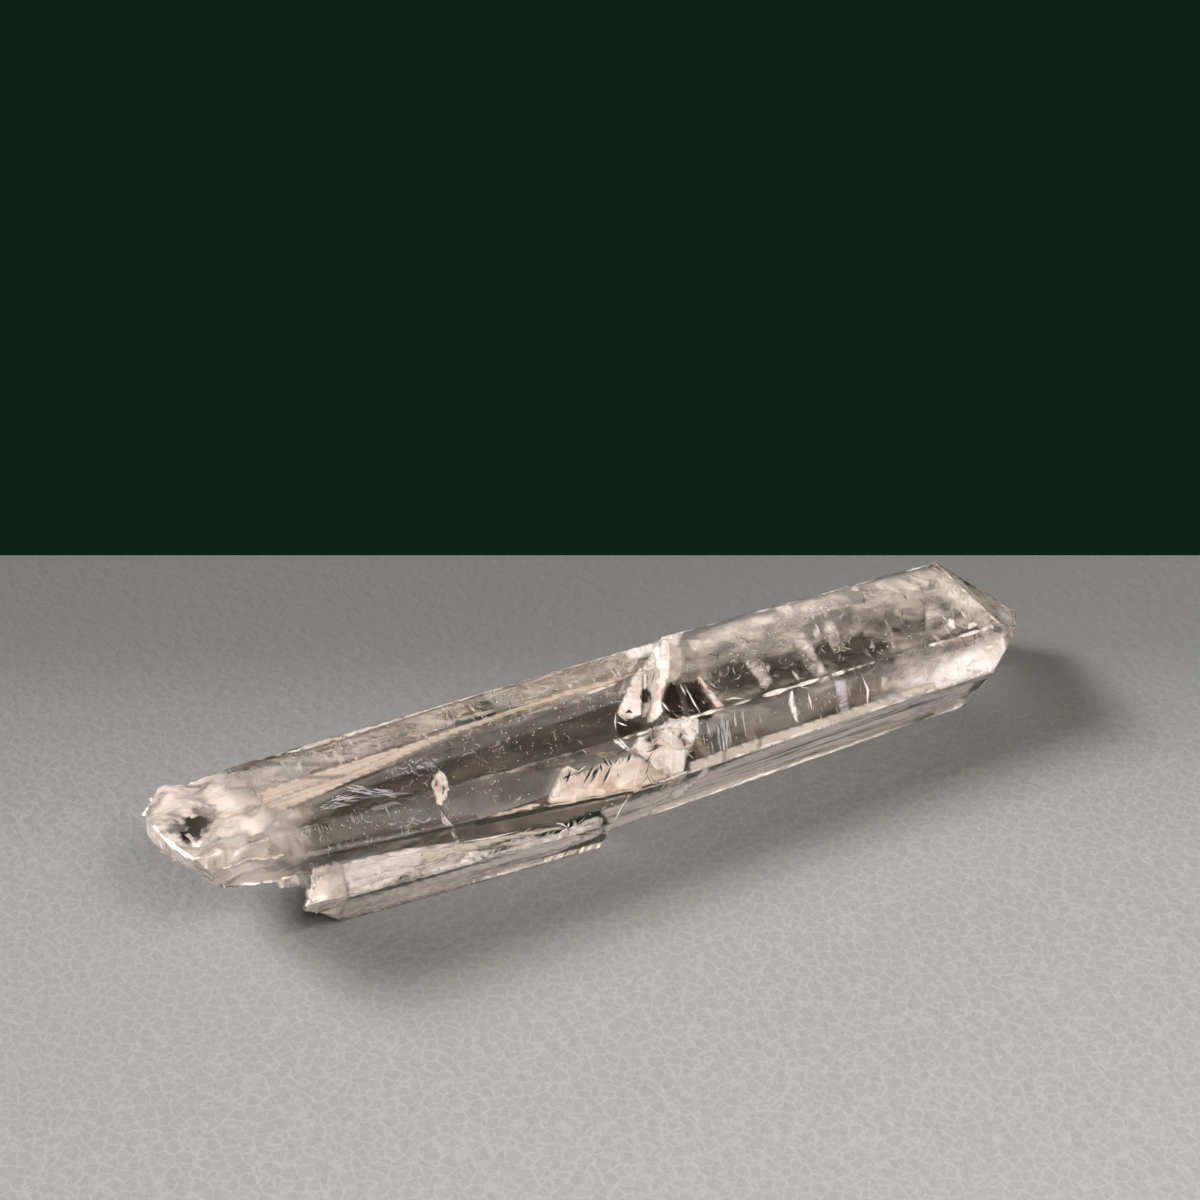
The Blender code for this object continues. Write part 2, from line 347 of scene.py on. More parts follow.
print("broken points:", sum(brokenness(v.co) > 0.0 for v in body_mesh.verts))

# %% [markdown]
# Before the bevel, each long edge is divided into short lengths. The bevel then has a row of points
# along its middle that no flat face touches. Pushed out, that row leaves the edge nearly sharp.
# Pushed in, it makes a nick. The flat faces stay truly flat, because the smallest tilt of a clear
# face shows as a break in everything behind it.

# %% Worn and chipped edges
EDGE_WEAR = 0.20 * MM                   # width of the bevel to each side
NICK_STEP = 0.8 * MM                    # length of an edge between two points that can be nicked
CREST = 0.055 * MM                      # how far the middle row stands out
NICK = 0.16 * MM                        # how deep a full nick goes in
HALF_BROKEN = 0.5                       # an edge more broken than this isn't divided or bruised
CREST_FACE = 0.6 * MM * MM              # the bevel's faces are smaller than this


def middle_broken(edge):
    return brokenness((edge.verts[0].co + edge.verts[1].co) / 2)


edge_lines = []                         # the sharp edges as they were, for the bruises under them
for edge in sharp_edges:
    if middle_broken(edge) > HALF_BROKEN:
        continue
    ends = [v.co.copy() for v in edge.verts]
    sides = [(f.normal.copy(), (f.calc_center_median() - ends[0]).copy()) for f in edge.link_faces]
    edge_lines.append((ends, sides))
long_edges = [e for e in long_edges if middle_broken(e) < HALF_BROKEN]
for edge in long_edges:
    bmesh.ops.subdivide_edges(body_mesh, edges=[edge], cuts=max(1, int(edge.calc_length() / NICK_STEP)))
flat_set = set(flat_faces)
long_edges = [e for e in body_mesh.edges if len(e.link_faces) == 2
              and all(f in flat_set for f in e.link_faces) and takes_wear(e)]
bmesh.ops.bevel(body_mesh, geom=long_edges, offset=EDGE_WEAR, offset_type="OFFSET", segments=2,
                profile=0.5, affect="EDGES", clamp_overlap=True, material=-1)
body_mesh.normal_update()
print("worn edges:", len(long_edges), "sharp edges kept for later:", len(edge_lines))

# %% [markdown]
# The chips come from two sizes of noise, so that they are uneven, with whole stretches unhurt.
# Each point of the middle row moves along its normal by what the noise says at its place.

# %% Chips
middle_row = [v for v in body_mesh.verts if v.co.z > 0.05 * MM
              and all(f.calc_area() < CREST_FACE for f in v.link_faces) and len(v.link_faces) == 4
              and brokenness(v.co) == 0.0]
for vert in middle_row:
    spot = vert.co / MM
    chip = min(1.0, max(0.0, 3.0 * noise.noise(spot * 0.8) + 1.6 * noise.noise(spot * 2.4) - 0.35))
    vert.co += vert.normal * (CREST - (CREST + NICK) * chip)
print("points on the crests:", len(middle_row), "faces:", len(body_mesh.faces))

# %% [markdown]
# The root is where the crystal broke off its rock. Its surface is lumpy and frosted. The packed
# solid has the large lumps, so its small faces are divided and pushed in and out a little more.
# An attribute named broken says how frosted each place is, and the material reads it.

# %% Broken root
ROOT_CUTS = 2
LUMP = 0.045 * MM
ROOT_FACE = 2.5 * MM * MM               # a broken face larger than this isn't divided
LUMP_FACE = 1.0 * MM * MM               # beside a face larger than this no point is moved

small = [f for f in body_mesh.faces
         if f.calc_area() < ROOT_FACE and brokenness(f.calc_center_median()) > 0.1]
bmesh.ops.subdivide_edges(body_mesh, edges=list({e for f in small for e in f.edges}), cuts=ROOT_CUTS,
                          use_grid_fill=True)
# The cuts number their faces in another way on each run, so the faces are put in one fixed order.
# Otherwise the search for the nearest face, further down, could pick another of two equal ones.
body_mesh.verts.index_update()
ranked = sorted(body_mesh.faces, key=lambda f: sorted(v.index for v in f.verts))
rank = {face: number for number, face in enumerate(ranked)}
body_mesh.faces.sort(key=rank.get)
body_mesh.faces.index_update()
body_mesh.normal_update()
for vert in body_mesh.verts:
    if vert.co.z > ABOVE_FLOOR:
        rough = brokenness(vert.co)
        if rough > 0.0 and all(f.calc_area() < LUMP_FACE for f in vert.link_faces):
            grain = noise.noise(vert.co / MM * 1.3) + 0.5 * noise.noise(vert.co / MM * 3.1)
            vert.co -= vert.normal * rough * LUMP * max(0.0, 0.6 + grain)
for vert in body_mesh.verts:
    vert.co = Vector([min(max(vert.co[i], cad_low[i]), cad_high[i]) for i in range(3)])
print("faces with the root:", len(body_mesh.faces))

# %% [markdown]
# The broken attribute is written once the points are in place, and only where no flat face is
# touched, so that the polished faces stay clear up to their rims. Small broken faces are shaded
# smooth, and the flat ones are left flat.

# %% Broken attribute
broken_layer = body_mesh.verts.layers.float.new("broken")
for vert in body_mesh.verts:
    on_flat = any(f.calc_area() > BIG_FACE for f in vert.link_faces)
    vert[broken_layer] = 0.0 if on_flat else brokenness(vert.co)
for face in body_mesh.faces:
    face.smooth = face.calc_area() < CREST_FACE and brokenness(face.calc_center_median()) > 0.05
print("smooth faces:", sum(f.smooth for f in body_mesh.faces))

# %% [markdown]
# The surface finish is one node group, used by the quartz. It turns the broken attribute into
# frosting, adds faint smudges that vary the gloss, and gives the prism faces the fine growth
# lines that run across every quartz prism.

# %% Surface finish
def new_group(name, inputs, outputs):
    """A node group with its input and output nodes; inputs are (label, kind, value)."""
    group = bpy.data.node_groups.new(name, "ShaderNodeTree")
    for label, kind, value in inputs:
        socket = group.interface.new_socket(name=label, in_out="INPUT", socket_type=kind)
        socket.default_value = value
    for label, kind in outputs:
        group.interface.new_socket(name=label, in_out="OUTPUT", socket_type=kind)
    return group, group.nodes.new("NodeGroupInput"), group.nodes.new("NodeGroupOutput")


def math_node(tree, operation, first, second=0.0, third=None, clamp=False):
    """The result of one sum; each term is a number or another node's output."""
    node = tree.nodes.new("ShaderNodeMath")
    node.operation = operation
    node.use_clamp = clamp
    for index, value in enumerate((first, second, third)):
        if value is None:
            continue
        if isinstance(value, bpy.types.NodeSocket):
            tree.links.new(value, node.inputs[index])
        else:
            node.inputs[index].default_value = value
    return node.outputs[0]


def stretched(tree, scale):
    """Object coordinates, scaled along each axis."""
    where = tree.nodes.new("ShaderNodeTexCoord")
    mapping = tree.nodes.new("ShaderNodeMapping")
    mapping.inputs["Scale"].default_value = scale
    tree.links.new(where.outputs["Object"], mapping.inputs["Vector"])
    return mapping.outputs["Vector"]


def noise_node(tree, vector, scale=1.0, detail=3.0, distortion=0.0):
    node = add_node(tree, "ShaderNodeTexNoise", Scale=scale, Detail=detail, Distortion=distortion)
    tree.links.new(vector, node.inputs["Vector"])
    return node.outputs["Fac"]


finish, group_in, group_out = new_group(
    "surface_finish",
    [("Polish", "NodeSocketFloat", 0.02), ("Frost", "NodeSocketFloat", 0.16)],
    [("Roughness", "NodeSocketFloat"), ("Height", "NodeSocketFloat")])
broken = add_node(finish, "ShaderNodeAttribute", attribute_name="broken").outputs["Fac"]
smudge = noise_node(finish, stretched(finish, (120.0, 260.0, 260.0)), 1.0, 4.0, 0.6)
smudge = math_node(finish, "POWER", smudge, 4.0)
rough = math_node(finish, "MULTIPLY_ADD", smudge, 0.55, group_in.outputs["Polish"])
rough = math_node(finish, "MULTIPLY_ADD", broken, group_in.outputs["Frost"], rough)
finish.links.new(rough, group_out.inputs["Roughness"])
lines = noise_node(finish, stretched(finish, (1500.0, 90.0, 90.0)), 1.0, 2.0)
pits = noise_node(finish, stretched(finish, (1800.0, 1800.0, 1800.0)), 1.0, 2.0)
pits = math_node(finish, "MULTIPLY", pits, broken)
height = math_node(finish, "MULTIPLY_ADD", pits, 2.0, lines)
finish.links.new(height, group_out.inputs["Height"])
print("nodes of the surface finish:", len(finish.nodes))

# %% [markdown]
# Clear quartz bends light more than water and less than most gems. It is plain transmission with
# quartz's own refractive index, and an absorption in its volume gives thick places a weak warm
# tone, as real quartz has. Tinting the surface instead would colour thin and thick places alike.

# %% Clear quartz
QUARTZ_IOR = 1.544
QUARTZ_TONE = (0.80, 0.67, 0.54, 1.0)   # what the light keeps on its way through
QUARTZ_DENSITY = 28.0

quartz, tree, shader = new_material("clear_quartz")
shader.inputs["Base Color"].default_value = (0.985, 0.97, 0.95, 1.0)
shader.inputs["Metallic"].default_value = 0.0
shader.inputs["IOR"].default_value = QUARTZ_IOR
shader.inputs["Transmission Weight"].default_value = 1.0
worn = add_node(tree, "ShaderNodeGroup", node_tree=finish)
tree.links.new(worn.outputs["Roughness"], shader.inputs["Roughness"])
bump = add_node(tree, "ShaderNodeBump", Strength=0.35, Distance=0.00004)
tree.links.new(worn.outputs["Height"], bump.inputs["Height"])
tree.links.new(bump.outputs["Normal"], shader.inputs["Normal"])
smoke = add_node(tree, "ShaderNodeVolumeAbsorption", Color=QUARTZ_TONE, Density=QUARTZ_DENSITY)
tree.links.new(smoke.outputs["Volume"], tree.nodes["Material Output"].inputs["Volume"])
print("refractive index:", QUARTZ_IOR)

# %% [markdown]
# Light that enters the crystal has to leave it again, so the body must be closed and its faces must
# point outwards. A body that is inside out has a negative volume, which is a surer test than
# working the normals out anew, because that can turn single parts of such a jagged surface round.

# %% Crystal body
open_edges = sum(not e.is_manifold for e in body_mesh.edges)
if body_mesh.calc_volume(signed=True) < 0.0:
    bmesh.ops.reverse_faces(body_mesh, faces=body_mesh.faces)
print("open edges:", open_edges, "volume, mm3:", round(body_mesh.calc_volume(signed=True) * 1e9))
body = link_piece("crystal_body", body_mesh, quartz)
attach(body, "root")
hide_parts("quartz_crystal")
print("body triangles:", sum(len(p.vertices) - 2 for p in body.data.polygons))

# %% [markdown]
# Everything inside is seen through a face that bends the view. To put a flaw where it should
# appear, a line of sight is sent in: it meets a face, turns by the law of refraction, and the
# flaw's corners lie on it. Each flaw is a thin sheet, drawn as an outline on a view 1200 wide.

# %% Lines of sight into the crystal
VIEW_SIDE = 1200
HALF_VIEW = VIEW_SIDE / 2
FOCAL = LENS / SENSOR * VIEW_SIDE
SKIN = 0.12 * MM                        # no flaw comes closer to the surface than this
VIEW_TURN = camera.rotation_euler.to_matrix()


def sight(u, v):
    """Direction in which the camera sees (u, v)."""
    return (VIEW_TURN @ Vector((u - HALF_VIEW, HALF_VIEW - v, -FOCAL))).normalized()


def bend(ray, normal):
    """Direction of a ray after it enters the quartz through a face with that outward normal."""
    ratio = 1.0 / QUARTZ_IOR
    cosine = -ray.dot(normal)
    inward = math.sqrt(1.0 - ratio ** 2 * (1.0 - cosine ** 2))
    return (ray * ratio + normal * (ratio * cosine - inward)).normalized()


def face_seen(u, v):
    """Where the line of sight through (u, v) meets the crystal, and the normal there."""
    place, normal, _, _ = crisp_tree.ray_cast(CAMERA_PLACE, sight(u, v))
    if place is None:
        raise ValueError(f"no face of the crystal at {u}, {v}")
    return place, normal


def keep_inside(point):
    """The point itself, or the nearest one under the skin if it lies outside the crystal."""
    for _ in range(12):
        near, normal, _, _ = crisp_tree.find_nearest(point)
        over = (point - near).dot(normal) + SKIN
        if over > 0.0:
            point = point - normal * over
    return Vector([min(max(point[i], cad_low[i] + SKIN), cad_high[i] - SKIN) for i in range(3)])


def look_in(u, v, face, depth=None, plane=None):
    """The point behind (u, v): that deep under the face, or on the plane, and inside the crystal."""
    place, normal = face
    ray = sight(u, v)
    entry = CAMERA_PLACE + ray * ((place - CAMERA_PLACE).dot(normal) / ray.dot(normal))
    inner = bend(ray, normal)
    if plane:
        reach = (plane[0] - entry).dot(plane[1]) / inner.dot(plane[1])
    else:
        reach = -depth / inner.dot(normal)
    _, _, _, room = crisp_tree.ray_cast(entry + inner * SKIN, inner)
    far = max(SKIN, (room or SKIN) - SKIN)
    return keep_inside(entry + inner * min(max(reach, SKIN), far))


print("view side:", VIEW_SIDE, "focal length in the same units:", FOCAL)

# %% [markdown]
# The films inside are pale, grey or dark, but they all fade and break up in the same way, so one
# node group makes the mask for them all. An attribute named fade thins a film towards its rim, and
# noise, often drawn out along the crystal, breaks it up, so that it doesn't read as a cut sheet.

# %% Mask of the films
veil_mask, group_in, group_out = new_group(
    "veil_mask",
    [("Density", "NodeSocketFloat", 0.8), ("Along", "NodeSocketFloat", 500.0),
     ("Across", "NodeSocketFloat", 500.0), ("Cut", "NodeSocketFloat", 0.45), ("Soft", "NodeSocketFloat", 0.2),
     ("Detail", "NodeSocketFloat", 5.0)],
    [("Alpha", "NodeSocketFloat"), ("Grain", "NodeSocketFloat")])
where = veil_mask.nodes.new("ShaderNodeTexCoord")
ratio = veil_mask.nodes.new("ShaderNodeCombineXYZ")
veil_mask.links.new(group_in.outputs["Along"], ratio.inputs["X"])
veil_mask.links.new(group_in.outputs["Across"], ratio.inputs["Y"])
veil_mask.links.new(group_in.outputs["Across"], ratio.inputs["Z"])
drawn = veil_mask.nodes.new("ShaderNodeVectorMath")
drawn.operation = "MULTIPLY"
veil_mask.links.new(where.outputs["Object"], drawn.inputs[0])
veil_mask.links.new(ratio.outputs["Vector"], drawn.inputs[1])
grain_node = add_node(veil_mask, "ShaderNodeTexNoise", Scale=1.0, Distortion=0.9)
veil_mask.links.new(drawn.outputs["Vector"], grain_node.inputs["Vector"])
veil_mask.links.new(group_in.outputs["Detail"], grain_node.inputs["Detail"])
grain = grain_node.outputs["Fac"]
fade = add_node(veil_mask, "ShaderNodeAttribute", attribute_name="fade").outputs["Fac"]
level = math_node(veil_mask, "SUBTRACT", grain, group_in.outputs["Cut"])
level = math_node(veil_mask, "DIVIDE", level, group_in.outputs["Soft"], clamp=True)
level = math_node(veil_mask, "MULTIPLY", level, fade)
level = math_node(veil_mask, "MULTIPLY", level, group_in.outputs["Density"], clamp=True)
veil_mask.links.new(level, group_out.inputs["Alpha"])
contrast = math_node(veil_mask, "SUBTRACT", grain, 0.36)
contrast = math_node(veil_mask, "DIVIDE", contrast, 0.28, clamp=True)
veil_mask.links.new(contrast, group_out.inputs["Grain"])
print("nodes of the mask:", len(veil_mask.nodes))

# %% [markdown]
# Each film is a plain matt material that mixes a light and a dark colour by the mask's grain and
# takes its alpha from the mask. The films differ only in numbers, so one function makes them: two
# colours, density, the noise's scales along and across, its cut and softness, gloss and detail.

# %% Flaw materials
def flaw_material(name, light, dark, density, along, across, cut, soft, roughness=0.5, detail=5.0):
    material, tree, shader = new_material(name)
    shader.inputs["Roughness"].default_value = roughness
    mask = add_node(tree, "ShaderNodeGroup", node_tree=veil_mask)
    values = (("Density", density), ("Along", along), ("Across", across), ("Cut", cut), ("Soft", soft),
              ("Detail", detail))
    for label, value in values:
        mask.inputs[label].default_value = value
    tint = tree.nodes.new("ShaderNodeMix")
    tint.data_type = "RGBA"
    tint.inputs["A"].default_value = (*dark, 1.0)
    tint.inputs["B"].default_value = (*light, 1.0)
    tree.links.new(mask.outputs["Grain"], tint.inputs["Factor"])
    tree.links.new(tint.outputs["Result"], shader.inputs["Base Color"])
    tree.links.new(mask.outputs["Alpha"], shader.inputs["Alpha"])
    return material


milky = flaw_material("milky_veil", (0.96, 0.89, 0.84), (0.85, 0.74, 0.67),
                      0.75, 420.0, 420.0, 0.34, 0.32)
cloud = flaw_material("milky_cloud", (0.93, 0.85, 0.80), (0.84, 0.74, 0.67),
                      0.80, 380.0, 420.0, 0.31, 0.34)
root_milk = flaw_material("root_milk", (0.92, 0.83, 0.78), (0.83, 0.73, 0.67),
                          0.85, 300.0, 330.0, 0.18, 0.5, 0.5, 3.0)
haze = flaw_material("grey_haze", (0.86, 0.79, 0.72), (0.58, 0.50, 0.44),
                     0.62, 330.0, 420.0, 0.27, 0.35)
thin_haze = flaw_material("thin_haze", (0.86, 0.80, 0.74), (0.45, 0.40, 0.36),
                          0.20, 200.0, 330.0, 0.25, 0.35)
# Painted shade: dark olive films that darken the clear parts over the shaded floor.
painted_olive = flaw_material("painted_olive_shade", (0.14, 0.109, 0.080), (0.036, 0.027, 0.019),
                      0.67, 160.0, 420.0, 0.28, 0.3)
# Painted shade: a dense dark film for the shade between the front face and the rider.
deep_painted_olive = flaw_material("deep_painted_shade", (0.18, 0.145, 0.115), (0.06, 0.047, 0.036),
                           0.93, 160.0, 420.0, 0.1, 0.2)
# Partly a smoky tone and partly painted shade, for the dark patches of the clear part.
smoky_painted_shade = flaw_material("smoky_painted_shade_patch", (0.065, 0.047, 0.034), (0.018, 0.012, 0.008),
                      0.95, 330.0, 420.0, 0.29, 0.25)
dark = flaw_material("dark_gap", (0.05, 0.03, 0.02), (0.012, 0.008, 0.006),
                     0.95, 600.0, 600.0, 0.1, 0.1, 0.15)
# Partly the white of healed cracks and partly a painted reflection of the light they catch.
bright = flaw_material("healed_fracture_and_painted_sheen", (1.0, 0.95, 0.92), (0.83, 0.71, 0.64),
                       1.0, 400.0, 600.0, 0.2, 0.12, 0.3, 2.0)
# Partly white flaws and partly painted highlights: sparkles, glints and bright lines.
spark = flaw_material("white_and_painted_sparkle", (1.0, 0.98, 0.97), (1.0, 0.92, 0.88),
                      1.0, 500.0, 500.0, 0.05, 0.1, 0.2, 2.0)
seam_milk = flaw_material("seam_milk", (0.88, 0.76, 0.70), (0.74, 0.60, 0.53),
                          0.62, 300.0, 300.0, 0.15, 0.3, 0.4, 3.0)
# Painted highlight: the glow at the bright end of the point's front face.
painted_end_glow = flaw_material("painted_end_glow", (1.0, 0.98, 0.97), (0.96, 0.90, 0.86),
                          1.0, 260.0, 600.0, 0.12, 0.5, 0.3, 3.0)
silver = flaw_material("silver_film", (0.80, 0.80, 0.84), (0.55, 0.55, 0.60),
                       0.85, 500.0, 500.0, 0.15, 0.3, 0.25)
thread = flaw_material("pale_thread", (1.0, 0.95, 0.90), (0.8, 0.7, 0.62),
                       0.5, 500.0, 500.0, 0.2, 0.3, 0.3)
lilac = flaw_material("lilac_film", (0.86, 0.80, 0.92), (0.70, 0.62, 0.70),
                      0.7, 300.0, 900.0, 0.3, 0.25, 0.3)
# Painted light: a warm lit bar that glows beside the seam.
painted_seam_glow = flaw_material("painted_lit_bar", (1.0, 0.90, 0.82), (0.80, 0.60, 0.48),
                           1.0, 300.0, 900.0, 0.1, 0.2, 0.3)
comb_skin = flaw_material("comb_skin", (0.98, 0.88, 0.79), (0.66, 0.52, 0.42),
                          0.97, 300.0, 700.0, 0.16, 0.12, 0.3, 2.0)
streaky = flaw_material("streaky_haze", (1.0, 0.94, 0.90), (0.70, 0.63, 0.58),
                        0.85, 90.0, 900.0, 0.25, 0.22)
# Partly the white of bruised edges and partly a painted highlight along them.
bruise_and_highlight = flaw_material("edge_bruise_and_highlight", (1.0, 0.95, 0.92), (0.9, 0.8, 0.75),
                       0.9, 900.0, 900.0, 0.3, 0.15, 0.3)
rider_skin = flaw_material("rider_skin", (1.0, 0.94, 0.93), (0.52, 0.44, 0.42),
                           0.95, 160.0, 1100.0, 0.28, 0.14, 0.3, 3.0)
peach = flaw_material("peach_band", (0.76, 0.64, 0.55), (0.50, 0.39, 0.32),
                      0.97, 70.0, 3200.0, 0.16, 0.1, 0.45)
# Cream colour on the rider, and painted light for the lit band along the point's front edge.
cream_and_lit = flaw_material("cream_and_lit_band", (0.76, 0.68, 0.61), (0.62, 0.54, 0.47),
                      0.92, 150.0, 500.0, 0.05, 0.2, 0.4, 2.0)

# %% [markdown]
# A flaw is drawn as a flat outline, cut into small cells and sent in by lines of sight, so that it
# can follow a face and ripple. Cutting with planes keeps the outline exact, which a grid of squares
# wouldn't. The distance of each point from the rim sets how far the film has faded there.

# %% Flaw sheets
CELL = 4.0                              # px between the cuts that divide a sheet
NARROW = 0.6                            # px from its rim to its middle, under which a sheet has no faded rim
made_flaws = []


def slice_up(mesh, axis, low, high, step, dist=0.0):
    """Cut the whole mesh by planes across one axis, a step apart."""
    spot = low + step
    while spot < high:
        point, normal = [0.0, 0.0, 0.0], [0.0, 0.0, 0.0]
        point[axis], normal[axis] = spot, 1.0
        bmesh.ops.bisect_plane(mesh, geom=mesh.verts[:] + mesh.edges[:] + mesh.faces[:],
                               plane_co=point, plane_no=normal, dist=dist)
        spot += step


def inner_piece(name, mesh, material, smooth=False):
    """A finished flaw inside the crystal: an object on the root body."""
    piece = link_piece(name, mesh, material)
    if smooth:
        piece.data.shade_smooth()
    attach(piece, "root")
    made_flaws.append(name)
    print(name, "faces:", len(piece.data.polygons))


def rim_distance(point, outline):
    nearest = 1e9
    for a, b in zip(outline, outline[1:] + outline[:1]):
        a, b = Vector(a), Vector(b)
        t = min(1.0, max(0.0, (point - a).dot(b - a) / max((b - a).length_squared, 1e-9)))
        nearest = min(nearest, (a + (b - a) * t - point).length)
    return nearest


def add_sheet(mesh, outline, depth=None, plane=None, through=None, rim=6.0, wave=0.15, fold=22.0, cell=CELL):
    """A thin sheet whose outline is seen at those places through one face of the crystal."""
    part = bmesh.new()
    part.faces.new([part.verts.new((u, v, 0.0)) for u, v in outline])
    bmesh.ops.triangulate(part, faces=part.faces)
    for axis in (0, 1):
        spots = [p[axis] for p in outline]
        slice_up(part, axis, min(spots), max(spots), cell)
    centre = through or tuple(sum(p[i] for p in outline) / len(outline) for i in (0, 1))
    face = face_seen(*centre)
    fade_layer = mesh.verts.layers.float["fade"]
    copies = {}
    rims = {vert: rim_distance(vert.co.to_2d(), outline) for vert in part.verts}
    widest = max(rims.values())
    for vert in part.verts:
        spot = vert.co.to_2d()
        ripple = wave * MM * noise.noise(Vector((spot.x, spot.y, outline[0][0])) / fold)
        if plane:
            co = look_in(spot.x, spot.y, face, plane=(plane[0] + plane[1] * ripple, plane[1]))
        else:
            co = look_in(spot.x, spot.y, face, depth=depth * MM + ripple)
        copies[vert] = mesh.verts.new(co)
        copies[vert][fade_layer] = 1.0 if widest < NARROW else min(1.0, rims[vert] / min(rim, widest))
    for face in part.faces:
        mesh.faces.new([copies[v] for v in face.verts])
    part.free()


def strip(path, width):
    """Outline of a thin strip along a path, pointed at both ends."""
    points = [Vector(p) for p in path]
    left, right = [], []
    for i, point in enumerate(points[1:-1], 1):
        side = (points[i + 1] - points[i - 1]).normalized().orthogonal() * width / 2
        left.append(point + side)
        right.append(point - side)
    if not left:
        middle = (points[0] + points[1]) / 2
        side = (points[1] - points[0]).normalized().orthogonal() * width / 2
        left, right = [middle + side], [middle - side]
    return [tuple(p) for p in (points[0], *left, points[-1], *reversed(right))]


def flaw(name, material, *sheets, smooth=True):
    """One piece of one or more sheets; each is (outline, settings)."""
    mesh = bmesh.new()
    mesh.verts.layers.float.new("fade")
    for outline, settings in sheets:
        add_sheet(mesh, outline, **settings)
    inner_piece(name, mesh, material, smooth)


# %% [markdown]
# The root is milky because it is full of tiny fluid bubbles. Three shells, one inside the next,
# follow its surface just under the skin. Their noise leaves clear windows here and there.

# %% Milky root
CLOUD_END = -26.0 * MM
CLOUD_CELL = 1.2 * MM
ROOT_SPINE = Vector((-27.0, 0.8, 9.3)) * MM     # the shells are drawn in towards these points
RIDER_SPINE = Vector((-27.0, -4.2, 3.4)) * MM
RAGGED = 2.5 * MM                       # how uneven the end of the milk is


def root_shell(name, size, fade_start, fade_length):
    """A shell shaped like the root, drawn in towards the middle of the root or of the rider."""
    mesh = packed_copy()
    bmesh.ops.bisect_plane(mesh, geom=mesh.verts[:] + mesh.edges[:] + mesh.faces[:],
                           plane_co=(CLOUD_END, 0.0, 0.0), plane_no=(1.0, 0.0, 0.0), clear_outer=True)
    for axis in range(3):
        slice_up(mesh, axis, cad_low[axis], cad_high[axis], CLOUD_CELL, MERGE)
    bmesh.ops.triangulate(mesh, faces=mesh.faces)
    for _ in range(4):
        bmesh.ops.smooth_vert(mesh, verts=mesh.verts, factor=0.5,
                              use_axis_x=True, use_axis_y=True, use_axis_z=True)
    fade_layer = mesh.verts.layers.float.new("fade")
    for vert in mesh.verts:
        low_part = vert.co.z < 7.0 * MM and vert.co.y < 1.0 * MM
        spine = RIDER_SPINE if low_part else ROOT_SPINE
        vert.co.x = spine.x + (vert.co.x - spine.x) * (1.0 + size) / 2.0
        vert.co.y = spine.y + (vert.co.y - spine.y) * size
        vert.co.z = spine.z + (vert.co.z - spine.z) * size
        vert.co = keep_inside(vert.co)
        ragged = RAGGED * noise.noise(vert.co / MM / 3.0)
        vert[fade_layer] = min(1.0, max(0.0, (fade_start - vert.co.x + ragged) / fade_length))
    unseen = [f for f in mesh.faces if all(v[fade_layer] <= 0.0 for v in f.verts)]
    bmesh.ops.delete(mesh, geom=unseen, context="FACES")
    inner_piece(name, mesh, root_milk, smooth=True)


root_shell("root_cloud_outer", 0.93, -32.5 * MM, 4.0 * MM)
root_shell("root_cloud_middle", 0.78, -31.5 * MM, 5.0 * MM)
root_shell("root_cloud_inner", 0.58, -30.0 * MM, 6.0 * MM)

# %% [markdown]
# Old dirt has stayed in one pit of the root. It is only colour, so it isn't modelled. A group of
# nodes measures the distance from each point to a few places in the pit, roughens that with noise,
# and gives a mask. Painting it by hand would need an image, and this needs none.

# %% Dirt of the root
# Places of dirt: u, v, radius in mm, strength.
DIRT = ((197, 823, 1.5, 1.0), (188, 834, 1.3, 1.0), (180, 828, 1.2, 0.8), (172, 815, 1.2, 0.35),
        (205, 812, 1.4, 0.6), (214, 822, 1.5, 0.35), (195, 796, 1.6, 0.25), (250, 808, 0.8, 0.4))

dirt, group_in, group_out = new_group("root_dirt", [], [("Mask", "NodeSocketFloat")])
where = dirt.nodes.new("ShaderNodeTexCoord")
ragged = noise_node(dirt, stretched(dirt, (1500.0, 1500.0, 1500.0)), 1.0, 4.0)
total = None
for u, v, radius, strength in DIRT:
    gap = dirt.nodes.new("ShaderNodeVectorMath")
    gap.operation = "DISTANCE"
    dirt.links.new(where.outputs["Object"], gap.inputs[0])
    gap.inputs[1].default_value = face_seen(u, v)[0]
    near = math_node(dirt, "DIVIDE", gap.outputs["Value"], radius * MM)
    near = math_node(dirt, "SUBTRACT", 1.0, near)
    near = math_node(dirt, "MULTIPLY_ADD", ragged, 1.8, math_node(dirt, "SUBTRACT", near, 0.9))
    near = math_node(dirt, "MULTIPLY", near, 2.5, clamp=True)
    near = math_node(dirt, "MULTIPLY", near, strength)
    total = near if total is None else math_node(dirt, "MAXIMUM", total, near)
dirt.links.new(total, group_out.inputs["Mask"])
print("places of dirt:", len(DIRT))

# %% [markdown]
# The skin of the break is frosted white. Its material is one of the films with three additions: the
# dirt darkens it, the dirt also makes it solid where it lies, and a fine bump makes it sparkle.

# %% Frosted material
DIRT_COLOUR = (0.022, 0.012, 0.006, 1.0)
GRIT_HEIGHT = 0.07 * MM

